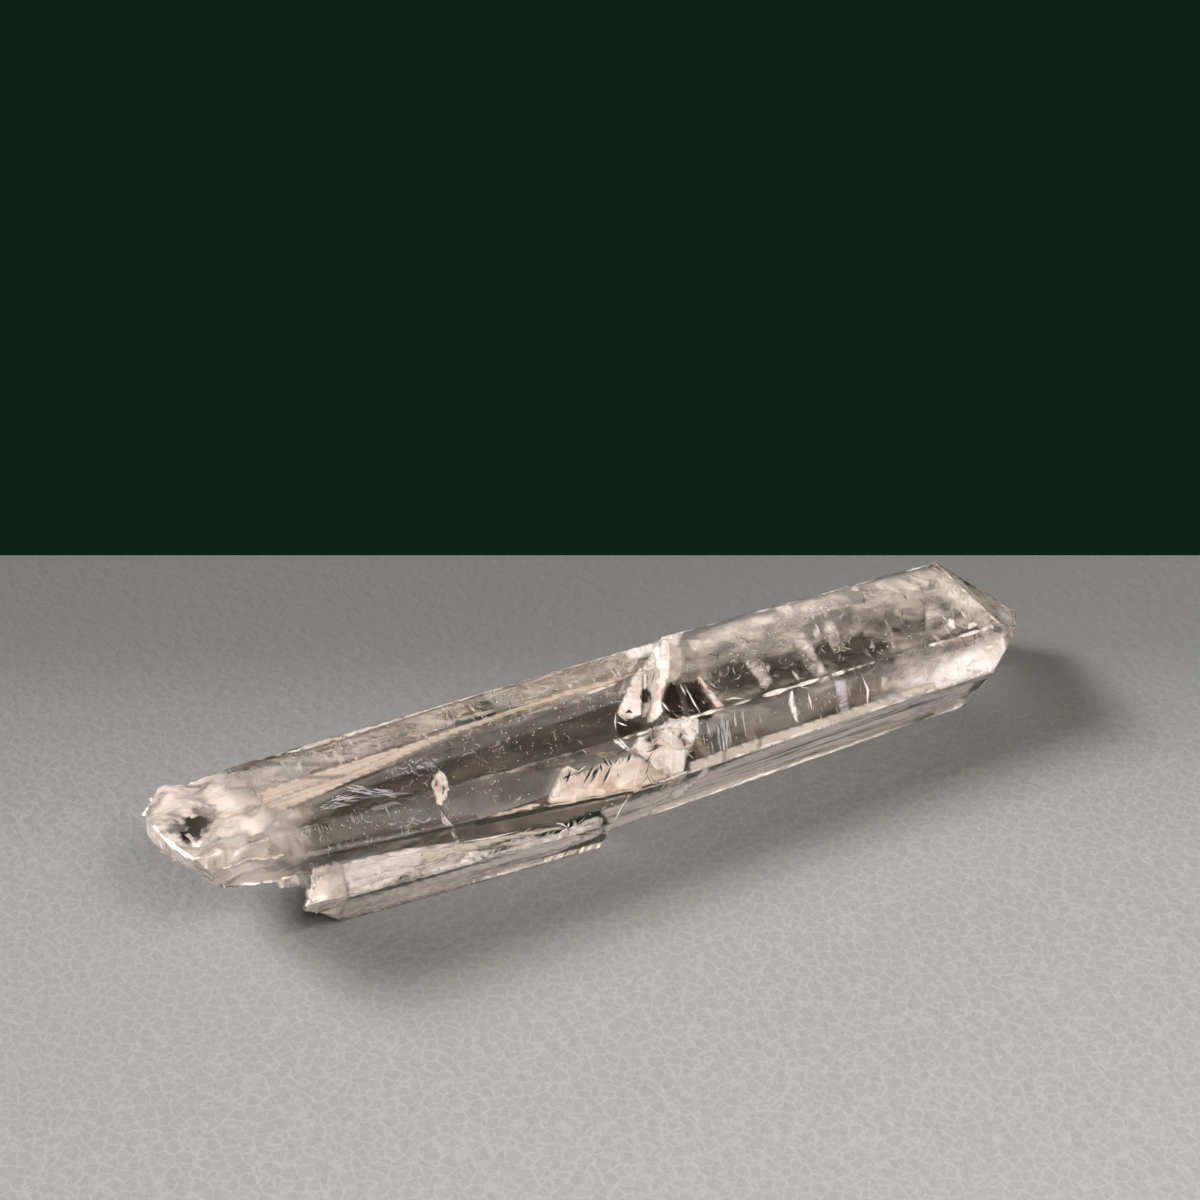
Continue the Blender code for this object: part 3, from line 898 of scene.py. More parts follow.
frosted = flaw_material("frosted_skin", (0.90, 0.80, 0.75), (0.78, 0.68, 0.62),
                        0.92, 400.0, 440.0, 0.22, 0.34, 0.5, 3.0)
tree = frosted.node_tree
shader = next(n for n in tree.nodes if n.type == "BSDF_PRINCIPLED")
clean = shader.inputs["Base Color"].links[0].from_socket
soiled = tree.nodes.new("ShaderNodeMix")
soiled.data_type = "RGBA"
soiled.inputs["B"].default_value = DIRT_COLOUR
dirt_here = add_node(tree, "ShaderNodeGroup", node_tree=dirt).outputs["Mask"]
tree.links.new(dirt_here, soiled.inputs["Factor"])
see_through = shader.inputs["Alpha"].links[0].from_socket
tree.links.new(math_node(tree, "MAXIMUM", see_through, dirt_here), shader.inputs["Alpha"])
tree.links.new(clean, soiled.inputs["A"])
tree.links.new(soiled.outputs["Result"], shader.inputs["Base Color"])
grit = add_node(tree, "ShaderNodeBump", Strength=1.0, Distance=GRIT_HEIGHT)
grit_noise = noise_node(tree, stretched(tree, (2200.0, 2200.0, 2200.0)), 1.0, 4.0)
tree.links.new(grit_noise, grit.inputs["Height"])
tree.links.new(grit.outputs["Normal"], shader.inputs["Normal"])
print("nodes of the frosted skin:", len(tree.nodes))

# %% [markdown]
# A copy of the body's broken faces lies just under them and carries that white, with clear windows
# at a few places. A sheet that stuck out of the worn surface would show as a pale flake, so each of
# its points is moved back under the nearest face. That isn't exact in the sharpest folds of the
# break, where some points still end up a tenth of a millimetre outside.

# %% Frosted skin of the root
SKIN_DEPTH = 0.07 * MM
SKIN_FACE = 3.0 * MM * MM               # a face larger than this isn't part of the break
# Clear windows in the skin: u, v, radius in mm.
WINDOWS = ((237, 846, 1.7), (262, 838, 1.0), (285, 832, 2.0), (300, 848, 1.4), (272, 773, 1.6),
           (290, 768, 1.4))

body_tree = BVHTree.FromPolygons([v.co for v in body.data.vertices],
                                 [f.vertices for f in body.data.polygons])


def keep_under(point, depth):
    """The point, or one that deep under the worn surface if it lies higher."""
    for _ in range(8):
        near, normal, _, _ = body_tree.find_nearest(point)
        over = (point - near).dot(normal) + depth
        if over > 0.0:
            point = point - normal * over
    return point


skin_mesh = bmesh.new()
skin_mesh.from_mesh(body.data)
skin_mesh.normal_update()
fade_layer = skin_mesh.verts.layers.float.new("fade")
windows = [(face_seen(u, v)[0], radius * MM) for u, v, radius in WINDOWS]
for vert in skin_mesh.verts:
    clear = min(((vert.co - centre).length / radius for centre, radius in windows), default=9.0)
    level = brokenness(vert.co) * 1.3 + 0.5 * noise.noise(vert.co / MM / 2.5)
    vert[fade_layer] = min(1.0, max(0.0, level), max(0.12, 2.2 * clear - 1.6))
moved = [(v, keep_under(v.co - v.normal * SKIN_DEPTH, 0.6 * SKIN_DEPTH)) for v in skin_mesh.verts]
for vert, co in moved:
    vert.co = [min(max(co[i], cad_low[i] + MERGE), cad_high[i] - MERGE) for i in range(3)]
sound = [f for f in skin_mesh.faces
         if brokenness(f.calc_center_median()) < 0.02 or f.calc_area() > SKIN_FACE]
bmesh.ops.delete(skin_mesh, geom=sound, context="FACES")
inner_piece("frosted_skin", skin_mesh, frosted, smooth=True)

# %% [markdown]
# The long wedge-shaped facet beside the top has an etched, peach-coloured skin. It is drawn as two
# sheets just under that facet, a smooth one above and a finely lined one below.

# %% Peach wedge
flaw("peach_wedge", peach,
     ([(205, 812), (250, 794), (300, 777), (340, 764), (370, 755), (400, 745), (400, 752), (345, 777),
       (300, 791), (262, 806), (230, 820), (205, 832)],
      dict(depth=0.15, through=(300, 785), rim=0.8, wave=0.0)),
     ([(360, 762), (400, 747), (450, 728), (500, 711), (560, 689), (610, 676), (655, 665), (610, 684),
       (560, 697), (500, 719), (450, 737), (400, 759), (370, 773), (345, 784), (320, 796), (300, 804),
       (270, 816), (245, 829), (262, 804), (300, 788), (335, 774)],
      dict(depth=0.25, through=(345, 776), rim=0.8, wave=0.0)),
     (strip([(440, 715), (480, 700), (520, 686), (560, 672), (600, 656)], 3.5),
      dict(depth=0.3, through=(500, 694), rim=1.0)))

# %% [markdown]
# Away from the root the crystal is clear but not empty. Weak hazes hang in it, which give the clear
# parts their grey tone. The dark olive films are painted shade: they darken the clear parts where
# the shaded floor under the crystal is seen through them.

# %% Painted shade and hazes
flaw("top_painted_shade", painted_olive,
     ([(310, 805), (350, 785), (400, 760), (450, 738), (500, 720), (560, 700), (615, 690), (618, 715),
       (610, 735), (570, 752), (520, 765), (450, 787), (400, 795), (330, 806)],
      dict(depth=3.0, through=(480, 750),
       rim=6.0)))
flaw("front_painted_shade", painted_olive,
     ([(285, 818), (330, 806), (400, 795), (440, 790), (500, 775), (560, 760), (545, 797), (500, 808),
       (465, 822), (430, 838), (380, 850), (340, 862), (315, 850)],
      dict(depth=1.5, through=(400, 820), rim=6.0)),
     ([(500, 776), (560, 760), (600, 748), (640, 738), (625, 756), (590, 768), (560, 765), (545, 797),
       (500, 808)],
      dict(depth=1.2, through=(400, 820), rim=5.0)),
     ([(700, 724), (760, 706), (860, 676), (930, 655), (925, 676), (860, 694), (800, 716), (700, 752)],
      dict(depth=1.2, through=(800, 706), rim=5.0)))
# Painted shade: the dark band between the front face and the rider, where shade falls.
flaw("under_painted_shade", deep_painted_olive,
     ([(300, 846), (380, 828), (476, 812), (478, 822), (430, 844), (406, 850), (355, 861), (320, 869),
       (304, 858)],
      dict(depth=0.7, through=(420, 840), rim=4.0)),
     ([(476, 824), (547, 806), (571, 807), (627, 795), (644, 791), (640, 800), (600, 812), (565, 823),
       (520, 830), (485, 838), (461, 841), (436, 846)], dict(depth=0.4, through=(420, 850), rim=2.0)))
flaw("strip_haze", haze,
     ([(215, 790), (250, 764), (330, 742), (450, 704), (560, 670), (628, 648), (640, 665), (560, 688),
       (450, 728), (340, 764), (250, 796)], dict(depth=0.8, through=(420, 730), rim=3.0)))
flaw("point_haze", haze,
     ([(655, 655), (740, 616), (860, 584), (934, 564), (960, 580), (1000, 612), (985, 632), (860, 668),
       (700, 714)],
      dict(depth=4.5, through=(800, 640), rim=6.0)))

flaw("rider_end_haze", streaky,
     ([(596, 812), (612, 804), (640, 796), (662, 800), (650, 818), (622, 830), (604, 834)],
      dict(depth=0.5, through=(625, 815), rim=4.0)))
flaw("lower_haze", streaky,
     ([(640, 822), (700, 800), (760, 776), (860, 742), (955, 706), (985, 676), (940, 690), (840, 720),
       (760, 748), (690, 778), (640, 795)], dict(depth=0.8, through=(800, 760), rim=3.0)))
flaw("rider_haze", streaky,
     ([(335, 915), (330, 903), (400, 886), (480, 862), (540, 842), (572, 832), (590, 838), (560, 850),
       (490, 874), (400, 903), (345, 918)], dict(depth=0.6, through=(450, 880), rim=2.0)))
flaw("front_haze", thin_haze,
     ([(690, 722), (860, 674), (960, 645), (950, 676), (860, 704), (700, 760)],
      dict(depth=1.0, through=(800, 710), rim=4.0)))

flaw("tip_haze", cloud,
     ([(935, 564), (975, 585), (1013, 607), (1015, 622), (1003, 626), (990, 622), (965, 598)],
      dict(depth=0.12, through=(985, 603), rim=0.8)),
     ([(936, 565), (975, 590), (1014, 617), (1016, 624), (1008, 630), (985, 614), (955, 594)],
      dict(depth=0.6, through=(985, 603), rim=1.5)),
     ([(990, 634), (1015, 625), (1008, 650), (1000, 664), (992, 650)], dict(depth=0.15, through=(1004, 640),
       rim=1.0)),
     ([(930, 706), (960, 696), (985, 684), (1000, 672), (985, 692), (960, 714), (935, 724)],
      dict(depth=0.4, through=(955, 705), rim=3.0)))
# Painted highlight: a bright strip along the top edge, where it catches the light.
flaw("top_rim_highlight", bright,
     (strip([(236, 766), (300, 749), (340, 738), (400, 718), (450, 702), (500, 686), (560, 668),
             (600, 656), (628, 647)], 4.5), dict(depth=0.25, through=(420, 724), rim=1.0)))

# %% [markdown]
# Every long edge is bruised: tiny cracks line it and catch the light. A strip folded over the
# edge, just under its skin, holds them. Its width and its breaks come from noise. Its pale colour
# is partly the white of those cracks and partly a painted highlight, in place of the lamps' light
# reflected along the edge.

# %% Bruised edges and painted edge highlights
BRUISE_STEP = 0.5 * MM
BRUISE_DEPTH = 0.07 * MM
BRUISE_WIDTH = 0.12                     # mm to each side at the least
BRUISE_SPREAD = 0.22                    # mm that the noise adds where it is 1
BRUISE_GAP = 0.02                       # share of an edge left free at each end
# Painted highlight: where both faces of an edge look at the camera, its strip is fainter.
QUIET_END = -3.0 * MM                   # before this the edges between the near faces are quiet
QUIET_SHARE = 0.25                      # the share of their bruises that such edges keep

bruise_and_highlights = bmesh.new()
fade_layer = bruise_and_highlights.verts.layers.float.new("fade")
for ends, sides in edge_lines:
    along = ends[1] - ends[0]
    steps = max(2, int(along.length / BRUISE_STEP))
    inward = []
    for normal, towards in sides:
        across = normal.cross(along).normalized()
        inward.append(across if across.dot(towards) > 0.0 else -across)
    crest_down = -(sides[0][0] + sides[1][0]).normalized()
    facing = [(CAMERA_PLACE - ends[0]).dot(normal) > 0.0 for normal, _ in sides]
    previous = None
    for i in range(steps + 1):
        spot = ends[0] + along * (BRUISE_GAP + (1.0 - 2.0 * BRUISE_GAP) * i / steps)
        share = QUIET_SHARE if all(facing) and spot.x < QUIET_END else 1.0
        patch = noise.noise(spot / MM * 0.6) + 0.6 * noise.noise(spot / MM * 2.0)
        width = MM * (BRUISE_WIDTH + BRUISE_SPREAD * max(0.0, patch))
        row = [bruise_and_highlights.verts.new(spot + inward[0] * width - sides[0][0] * BRUISE_DEPTH),
               bruise_and_highlights.verts.new(spot + crest_down * BRUISE_DEPTH * 1.5),
               bruise_and_highlights.verts.new(spot + inward[1] * width - sides[1][0] * BRUISE_DEPTH)]
        for vert in row:
            vert[fade_layer] = share * min(1.0, max(0.0, 0.5 + 1.8 * patch))
            vert.co = keep_under(vert.co, BRUISE_DEPTH / 3.0)
            vert.co.z = max(vert.co.z, MERGE)
        if previous:
            for k in (0, 1):
                bruise_and_highlights.faces.new((previous[k], previous[k + 1], row[k + 1], row[k]))
        previous = row
inner_piece("edge_bruise_and_highlights", bruise_and_highlights, bruise_and_highlight)

# %% [markdown]
# A few places in the clear part are dark brown, partly from a smoky tone of the quartz and partly
# as painted shade, for the shaded floor seen through them. They are drawn as dark films deeper
# inside, with wide faded rims. Smoke in the crystal's volume would be the other way, but it takes
# far longer to render.

# %% Smoky patches and painted shade
flaw("smoky_painted_shade_patches", smoky_painted_shade,
     ([(505, 745), (540, 730), (600, 722), (612, 715), (608, 735), (570, 750), (520, 758)],
      dict(depth=2.0, rim=8.0)),
     ([(700, 668), (730, 655), (790, 650), (800, 655), (815, 640), (850, 630), (880, 628), (900, 640),
       (890, 655), (850, 668), (800, 680), (760, 692), (735, 697), (712, 690)], dict(depth=2.5, rim=9.0)),
     ([(830, 615), (850, 608), (880, 612), (900, 620), (940, 600), (985, 600), (990, 612), (960, 625),
       (930, 640), (900, 645), (870, 630), (840, 628)], dict(depth=2.0, rim=14.0)))

# %% [markdown]
# Towards the point, milky bands and veils follow the growth of the crystal. The bands are broad
# films close under the faces, and the veils are narrower, and the longest of them ripple more. The
# cream band along the lower front edge is painted light, where the lamps light that edge.

# %% Milky bands of the point
flaw("point_band", cloud,
     ([(685, 636), (740, 616), (800, 599), (860, 583), (934, 565), (1000, 604), (985, 606), (960, 594),
       (920, 600), (880, 607), (840, 608), (800, 622), (760, 634), (720, 647), (690, 656)],
      dict(depth=0.8, through=(860, 592), rim=9.0, wave=0.3)),
     ([(936, 572), (1000, 610), (985, 627), (940, 640), (925, 632), (960, 612), (925, 598)],
      dict(depth=1.6, through=(860, 592), rim=9.0)))
flaw("point_veils", milky,
     ([(732, 640), (744, 640), (758, 654), (774, 680), (766, 694), (752, 676), (740, 658)],
      dict(depth=1.5, rim=4.0, wave=0.5, fold=10.0)),
     ([(790, 626), (804, 630), (816, 650), (832, 678), (816, 682), (802, 662), (792, 642)],
      dict(depth=1.4, rim=4.0, wave=0.5, fold=10.0)),
     ([(818, 600), (832, 612), (846, 648), (834, 656), (822, 632)],
      dict(depth=1.6, rim=4.0, wave=0.5, fold=10.0)),
     ([(770, 606), (790, 600), (802, 614), (785, 622)], dict(depth=0.4, rim=4.0)),
     ([(808, 598), (822, 594), (824, 612), (814, 614)], dict(depth=0.4, rim=4.0)),
     ([(842, 588), (856, 582), (862, 592), (848, 594)], dict(depth=0.4, rim=3.0)))
flaw("front_lit_band", cream_and_lit,
     ([(688, 762), (724, 749), (760, 737), (850, 708), (920, 685), (955, 676), (938, 688), (850, 722),
       (760, 750), (724, 764), (690, 777)], dict(depth=0.3, through=(800, 728), rim=1.5, wave=0.0)))

# %% [markdown]
# Where the two halves of the crystal grew together again, a broken seam stayed. It is one of the
# brightest flaws: pale plates, white rims and dark gaps. Their white is partly the seam's own and
# partly a painted reflection, as such cracks shine with the light that they reflect. Some stand in
# the plane of the seam, and the others lie a little way under the faces beside it. The lines are
# thin strips along a path.

# %% Healed seam
SEAM_PLANE = (Vector((-3.47, -8.97, 7.7)) * MM, Vector((-0.80, 0.50, 0.33)).normalized())
on_seam = dict(plane=SEAM_PLANE, rim=1.5, wave=0.5, fold=9.0)
shattered = dict(depth=0.9, through=(670, 742), rim=1.5, wave=1.6, fold=12.0, cell=7.0)
in_top = dict(depth=0.8, through=(690, 695), rim=0.8)
flaw("seam_plates", bright,
     ([(616, 713), (624, 694), (633, 674), (641, 662), (645, 668), (643, 690), (642, 715), (633, 719),
       (624, 719)],
      dict(depth=0.5, through=(690, 695), rim=1.5, wave=0.2, fold=9.0)),
     ([(648, 652), (655, 639), (668, 638), (672, 660), (670, 676), (664, 690), (662, 700), (664, 712),
       (656, 722), (646, 724), (647, 712), (651, 700), (646, 688), (644, 670)], on_seam),
     ([(641, 664), (650, 652), (647, 690), (652, 702), (648, 718), (641, 718), (643, 690)],
      dict(depth=1.3, through=(690, 695), rim=1.5, wave=0.3, fold=9.0)),
     ([(630, 742), (640, 736), (652, 733), (664, 728), (672, 722), (697, 717), (699, 735), (692, 748),
       (686, 760), (684, 774), (670, 780), (655, 770), (645, 760), (636, 752)], shattered), smooth=False)
flaw("seam_veil", seam_milk,
     ([(649, 640), (673, 637), (683, 650), (685, 670), (678, 682), (669, 684), (664, 694), (661, 712),
       (656, 722), (648, 722), (651, 700), (647, 680), (644, 664)], dict(depth=0.25, through=(690, 695),
       rim=3.0, wave=0.2)))
flaw("seam_whites", spark,
     ([(621, 647), (628, 644), (640, 655), (638, 662), (630, 675), (626, 670), (632, 658)], on_seam),
     ([(655, 641), (668, 641), (669, 656), (656, 658)], dict(plane=SEAM_PLANE, rim=4.0, wave=0.4, fold=9.0)),
     ([(620, 650), (632, 644), (648, 640), (660, 637), (676, 634), (686, 632), (680, 648), (668, 656),
       (652, 656), (640, 660), (630, 662)],
      dict(depth=0.5, through=(650, 645), rim=4.0, wave=0.5, fold=7.0)),
     ([(678, 722), (700, 716), (700, 732), (692, 746), (684, 738)], dict(depth=0.5, through=(670, 742),
       rim=1.0)),
     ([(670, 750), (688, 747), (684, 772), (668, 778), (671, 762)], dict(depth=0.5, through=(670, 742),
       rim=1.0)),
     ([(667, 722), (680, 719), (680, 728), (672, 729)], dict(depth=0.5, through=(675, 724), rim=2.0)),
     ([(667, 798), (672, 790), (680, 786), (695, 778), (705, 765), (712, 762), (708, 775), (695, 785),
       (682, 797), (676, 801)],
      dict(depth=0.4, through=(690, 780), rim=2.0, wave=0.5, fold=8.0)), smooth=False)
flaw("seam_gaps", dark,
     ([(663, 702), (666, 690), (670, 681), (676, 684), (683, 705), (684, 716), (672, 719), (664, 712)],
      in_top),
     ([(680, 682), (698, 679), (706, 692), (713, 706), (709, 713), (700, 715), (690, 718), (685, 700)],
      dict(depth=1.4, through=(690, 695), rim=3.0)),
     ([(617, 717), (622, 720), (640, 721), (648, 725), (640, 731), (630, 736), (622, 738), (616, 732),
       (615, 722)],
      dict(depth=0.7, through=(632, 728), rim=1.5)),
     ([(663, 764), (669, 757), (670, 765)], dict(depth=0.5, through=(670, 742), rim=0.5)),
     ([(677, 736), (681, 730), (688, 744), (685, 748)], dict(depth=0.5, through=(670, 742), rim=1.0)),
     ([(646, 748), (656, 742), (664, 746), (654, 752)], dict(depth=0.6, through=(670, 742), rim=3.0)),
     ([(640, 740), (652, 733), (660, 735), (650, 744)], dict(depth=0.6, through=(670, 742), rim=2.0)),
     ([(664, 734), (674, 730), (678, 738), (668, 742)], dict(depth=0.6, through=(670, 742), rim=2.0)),
     ([(641, 689), (648, 686), (652, 694), (649, 703), (643, 704), (639, 697)],
      dict(depth=0.3, through=(690, 695), rim=0.8)),
     (strip([(704, 673), (716, 685), (728, 699)], 2.2), dict(depth=0.5, through=(710, 690), rim=0.5)),
     (strip([(625, 713), (629, 711), (633, 713)], 3.5), dict(depth=0.3, through=(625, 705), rim=0.5)))
# Painted light: a warm glowing bar beside the seam.
flaw("seam_painted_glow", painted_seam_glow,
     ([(694, 675), (700, 674), (712, 690), (726, 706), (716, 710), (706, 693)],
      dict(depth=0.5, through=(690, 695), rim=2.5)))
SEAM_LINES = [
    ((674, 684), (682, 702), (688, 718)), ((680, 684), (686, 696)), ((684, 684), (694, 703), (701, 714)),
    ((664, 719), (672, 721), (684, 718), (700, 714)), ((613, 708), (618, 714), (626, 720), (636, 718)),
    ((616, 712), (615, 722), (616, 731)), ((616, 721), (622, 724), (628, 726)), ((702, 673), (714, 686),
    (727, 699)),
    ((632, 752), (622, 742), (615, 732)), ((640, 745), (648, 736), (660, 728)), ((632, 750), (638, 741)),
    ((645, 735), (638, 752), (634, 764)), ((660, 745), (656, 757), (662, 762)), ((698, 720), (688, 748)),
    ((685, 720), (692, 735)), ((652, 696), (660, 706), (668, 716)), ((660, 700), (670, 712)),
    ((675, 709), (678, 706), (683, 708), (682, 712), (676, 713)), ((655, 730), (662, 740), (672, 745),
    (684, 742)),
    ((668, 776), (680, 772), (688, 766)), ((700, 699), (707, 706)), ((724, 700), (734, 698), (745, 699)),
    ((616, 712), (624, 692), (633, 673)), ((646, 655), (645, 680), (644, 700)), ((650, 690), (640, 700),
    (646, 704))]
flaw("seam_lights", spark, *(
    (strip(path, 1.8),
    dict(depth=0.35, rim=0.3, wave=0.0, through=path[0] if path[0][1] > 726 else (690, 695)))
    for path in SEAM_LINES),
    (strip([(611, 734), (616, 741), (624, 747), (632, 753)], 4.5), dict(depth=0.3, through=(630, 750),
    rim=0.5)))

# %% [markdown]
# Beside the seam, a fracture has broken into a row of teeth like a comb. A pale rippled plate makes
# its ground, thin dark strips are the gaps between the teeth, and each has a bright strip beside it.
# Modelled teeth would be too small to see, and the strips give the same look.

# %% Comb fracture
comb = dict(depth=0.9, through=(610, 780), rim=1.5, wave=0.25, fold=12.0, cell=6.0)
flaw("comb_plate", comb_skin,
     ([(545, 800), (552, 787), (560, 770), (566, 765), (570, 778), (580, 772), (592, 768), (600, 762),
       (612, 762), (620, 757), (632, 753), (650, 762), (664, 765), (670, 778), (655, 784), (625, 793),
       (600, 799), (575, 803), (552, 806)], comb),
     (strip([(474, 823), (500, 815), (530, 807), (550, 801)], 6.0), dict(depth=0.3, rim=1.0)), smooth=False)
flaw("comb_whites", spark,
     ([(547, 800), (553, 786), (561, 772), (563, 784), (560, 797)], dict(comb, depth=0.6, rim=2.5)),
     (strip([(640, 786), (660, 782), (690, 771), (716, 757)], 3.0), dict(depth=0.4, through=(610, 780),
     rim=0.8)),
     (strip([(556, 806), (590, 801), (625, 793), (650, 786)], 2.2), dict(depth=0.4, through=(610, 780),
     rim=0.5)),
     (strip([(640, 760), (636, 775), (632, 788)], 1.6), comb), (strip([(662, 766), (656, 778)], 1.6), comb),
     (strip([(566, 768), (572, 776)], 2.0), comb), (strip([(612, 760), (606, 775)], 2.0), comb))
TEETH = [((603, 757), (609, 767)), ((600, 763), (602, 772)), ((598, 767), (591, 778)), ((594, 764),
         (583, 785)),
         ((590, 768), (580, 772), (571, 776)), ((584, 765), (575, 772)), ((618, 757), (612, 768)),
         ((625, 755), (619, 767)), ((631, 753), (627, 763)), ((574, 774), (562, 779)), ((608, 760),
         (613, 766)),
         ((600, 766), (590, 784)), ((612, 764), (602, 786)), ((622, 766), (614, 784)), ((571, 769),
         (566, 784))]
comb_line = dict(depth=0.4, through=(610, 780), rim=0.3, wave=0.0)
flaw("comb_teeth", dark, *((strip(tooth, 2.4), comb_line) for tooth in TEETH))
flaw("comb_glints", spark,
     *((strip([(u + 2.2, v + 0.6) for u, v in tooth], 1.3), comb_line) for tooth in TEETH))

# %% [markdown]
# A small flaw shaped like a diamond stands alone left of the seam. It is a folded plate with dark
# gaps and bright lines, made of fine cells and shaded flat, so that its folds stay crisp.

# %% Diamond flaw
flaw("diamond_flaw", bright,
     ([(430, 785), (438, 769), (448, 780), (449, 793), (444, 807), (436, 796)],
      dict(depth=0.6, rim=0.5, wave=0.9, fold=5.0, cell=3.0)),
     (strip([(440, 810), (447, 822), (458, 834)], 6.0), dict(depth=0.5, rim=0.8)),
     (strip([(446, 826), (456, 838), (463, 852)], 6.0), dict(depth=0.6, rim=0.8)), smooth=False)
flaw("diamond_gaps", dark,
     ([(441, 778), (446, 784), (446, 795), (442, 800), (440, 790)], dict(depth=0.35, rim=0.6)),
     ([(433, 786), (437, 777), (438, 788)], dict(depth=0.35, rim=0.4)),
     (strip([(447, 800), (441, 808), (448, 820), (458, 832)], 2.5), dict(depth=0.4, rim=0.3)))
flaw("diamond_lines", spark, *((strip(path, 1.5), dict(depth=0.25, rim=0.3, wave=0.0)) for path in (
    ((430, 785), (434, 777), (438, 769)), ((438, 769), (444, 775), (448, 781)), ((438, 770), (434, 786),
    (440, 797)),
    ((439, 771), (442, 784), (443, 800)), ((430, 786), (437, 798), (444, 807)), ((436, 790), (442, 792),
    (448, 788)),
    ((441, 811), (443, 822), (452, 830)), ((441, 811), (450, 824), (458, 834)), ((450, 838), (456, 842),
    (461, 850)))))

# %% [markdown]
# The point catches the most light. Short silvery streaks, a soft glow in several films and a few
# lilac bands stand there. The glow is a painted highlight: pale films where the end of the front
# face shines with the lamps' light. A lamp inside would be simpler, but it would light the other
# flaws too.

# %% Streaks and painted glow of the point
flaw("silver_streaks", spark,
     ([(790, 688), (793, 690), (797, 710), (800, 728), (793, 718), (788, 705)], dict(depth=0.6, rim=0.5)),
     (strip([(808, 692), (812, 710)], 2.5), dict(depth=0.6, rim=0.5)),
     (strip([(862, 676), (868, 690), (867, 706)], 3.0), dict(depth=0.6, rim=1.0)),
     (strip([(876, 622), (895, 645)], 3.0), dict(depth=0.8, rim=0.5)),
     ([(945, 628), (948, 618), (955, 617), (956, 630)], dict(depth=0.8, rim=1.0)),
     ([(965, 625), (975, 620), (980, 626), (968, 630)], dict(depth=0.8, rim=1.0)))
flaw("point_painted_glow", painted_end_glow,
     ([(890, 696), (905, 672), (935, 658), (965, 646), (1004, 631), (1013, 650), (1001, 674), (965, 686),
       (925, 697)],
      dict(depth=0.5, through=(965, 662), rim=14.0, wave=0.4, fold=12.0)),
     ([(950, 662), (975, 648), (1000, 640), (1004, 658), (990, 672), (955, 680)],
      dict(depth=0.9, through=(965, 662), rim=6.0)))
flaw("point_painted_light", spark,
     ([(914, 690), (936, 664), (962, 648), (1005, 630), (1013, 652), (1001, 676), (965, 688), (936, 696)],
      dict(depth=0.35, through=(965, 662), rim=9.0, wave=0.5, fold=8.0)),
     ([(956, 672), (984, 650), (1008, 640), (1006, 664), (992, 675)],
      dict(depth=0.2, through=(965, 662), rim=5.0, wave=0.3, fold=8.0)))
flaw("point_painted_glow_edge", milky,
     ([(868, 692), (880, 674), (925, 657), (965, 646), (950, 684), (900, 700)],
      dict(depth=0.7, through=(965, 662), rim=6.0)))
flaw("lilac_bands", lilac,
     ([(833, 680), (846, 678), (851, 714), (840, 718)], dict(depth=0.7, rim=2.0)),
     ([(870, 705), (905, 695), (940, 692), (900, 712)], dict(depth=0.7, rim=3.0)),
     ([(905, 716), (925, 703), (950, 694), (972, 690), (948, 706), (920, 718)],
      dict(depth=0.5, through=(945, 700), rim=2.0)))

# %% [markdown]
# The low crystal along the front is full of streaks that run its length. They are long films and
# strips just under its faces. Streaks in the material would be simpler, but a glass surface can't
# hold them at a depth, and they would slide over the faces instead of lying inside.

# %% Rider streaks
above_rider = dict(depth=0.35, through=(420, 850), rim=1.5, wave=0.2, fold=9.0)
flaw("rider_upper", rider_skin,
     ([(314, 876), (330, 868), (355, 859), (406, 848), (460, 841), (456, 856), (420, 866), (380, 874),
       (340, 886), (318, 890)], above_rider), smooth=False)
flaw("rider_milk", cloud,
     ([(318, 886), (326, 872), (350, 864), (390, 860), (430, 854), (410, 878), (390, 896), (360, 908),
       (330, 908)],
      dict(depth=0.55, through=(360, 880), rim=18.0)),
     ([(328, 917), (350, 902), (400, 888), (450, 874), (520, 854), (510, 866), (430, 893), (390, 907),
       (350, 918)],
      dict(depth=0.3, through=(450, 888), rim=6.0)))
flaw("rider_peach", cream_and_lit,
     ([(420, 853), (461, 842), (485, 839), (519, 832), (566, 825), (566, 829), (522, 837), (468, 852),
       (454, 857), (420, 865)], dict(above_rider, depth=0.25)),
     ([(316, 902), (340, 919), (362, 911), (377, 899), (350, 900)], dict(depth=0.3, through=(345, 908),
       rim=2.0)))
flaw("rider_leaf", spark,
     ([(551, 847), (556, 836), (563, 829), (569, 826), (568, 832), (560, 840)], dict(depth=0.3, rim=0.5)),
     *((strip(path, 2.0), dict(depth=0.25, rim=0.3, wave=0.0, through=(565, 832))) for path in (
         ((568, 828), (562, 824), (555, 823)), ((568, 828), (569, 822)), ((568, 829), (578, 826)),
         ((480, 863), (500, 855), (519, 846), (541, 835)), ((461, 842), (490, 838), (519, 831)),
         ((578, 822), (590, 814), (605, 806)), ((596, 812), (612, 804), (626, 796)))))
in_rider = dict(depth=0.45, through=(420, 868), rim=1.5, wave=0.3, fold=9.0)
flaw("rider_streaks", rider_skin,
     ([(318, 888), (345, 866), (400, 857), (450, 852), (520, 839), (560, 832), (598, 815), (606, 822),
       (560, 842), (500, 860), (440, 878), (400, 888), (340, 906), (322, 902)], in_rider),
     ([(345, 912), (400, 896), (470, 876), (540, 852), (608, 824), (600, 836), (540, 862), (470, 886),
       (400, 906), (350, 918)],
      dict(depth=1.6, through=(450, 888), rim=2.0, wave=0.3, fold=9.0)), smooth=False)
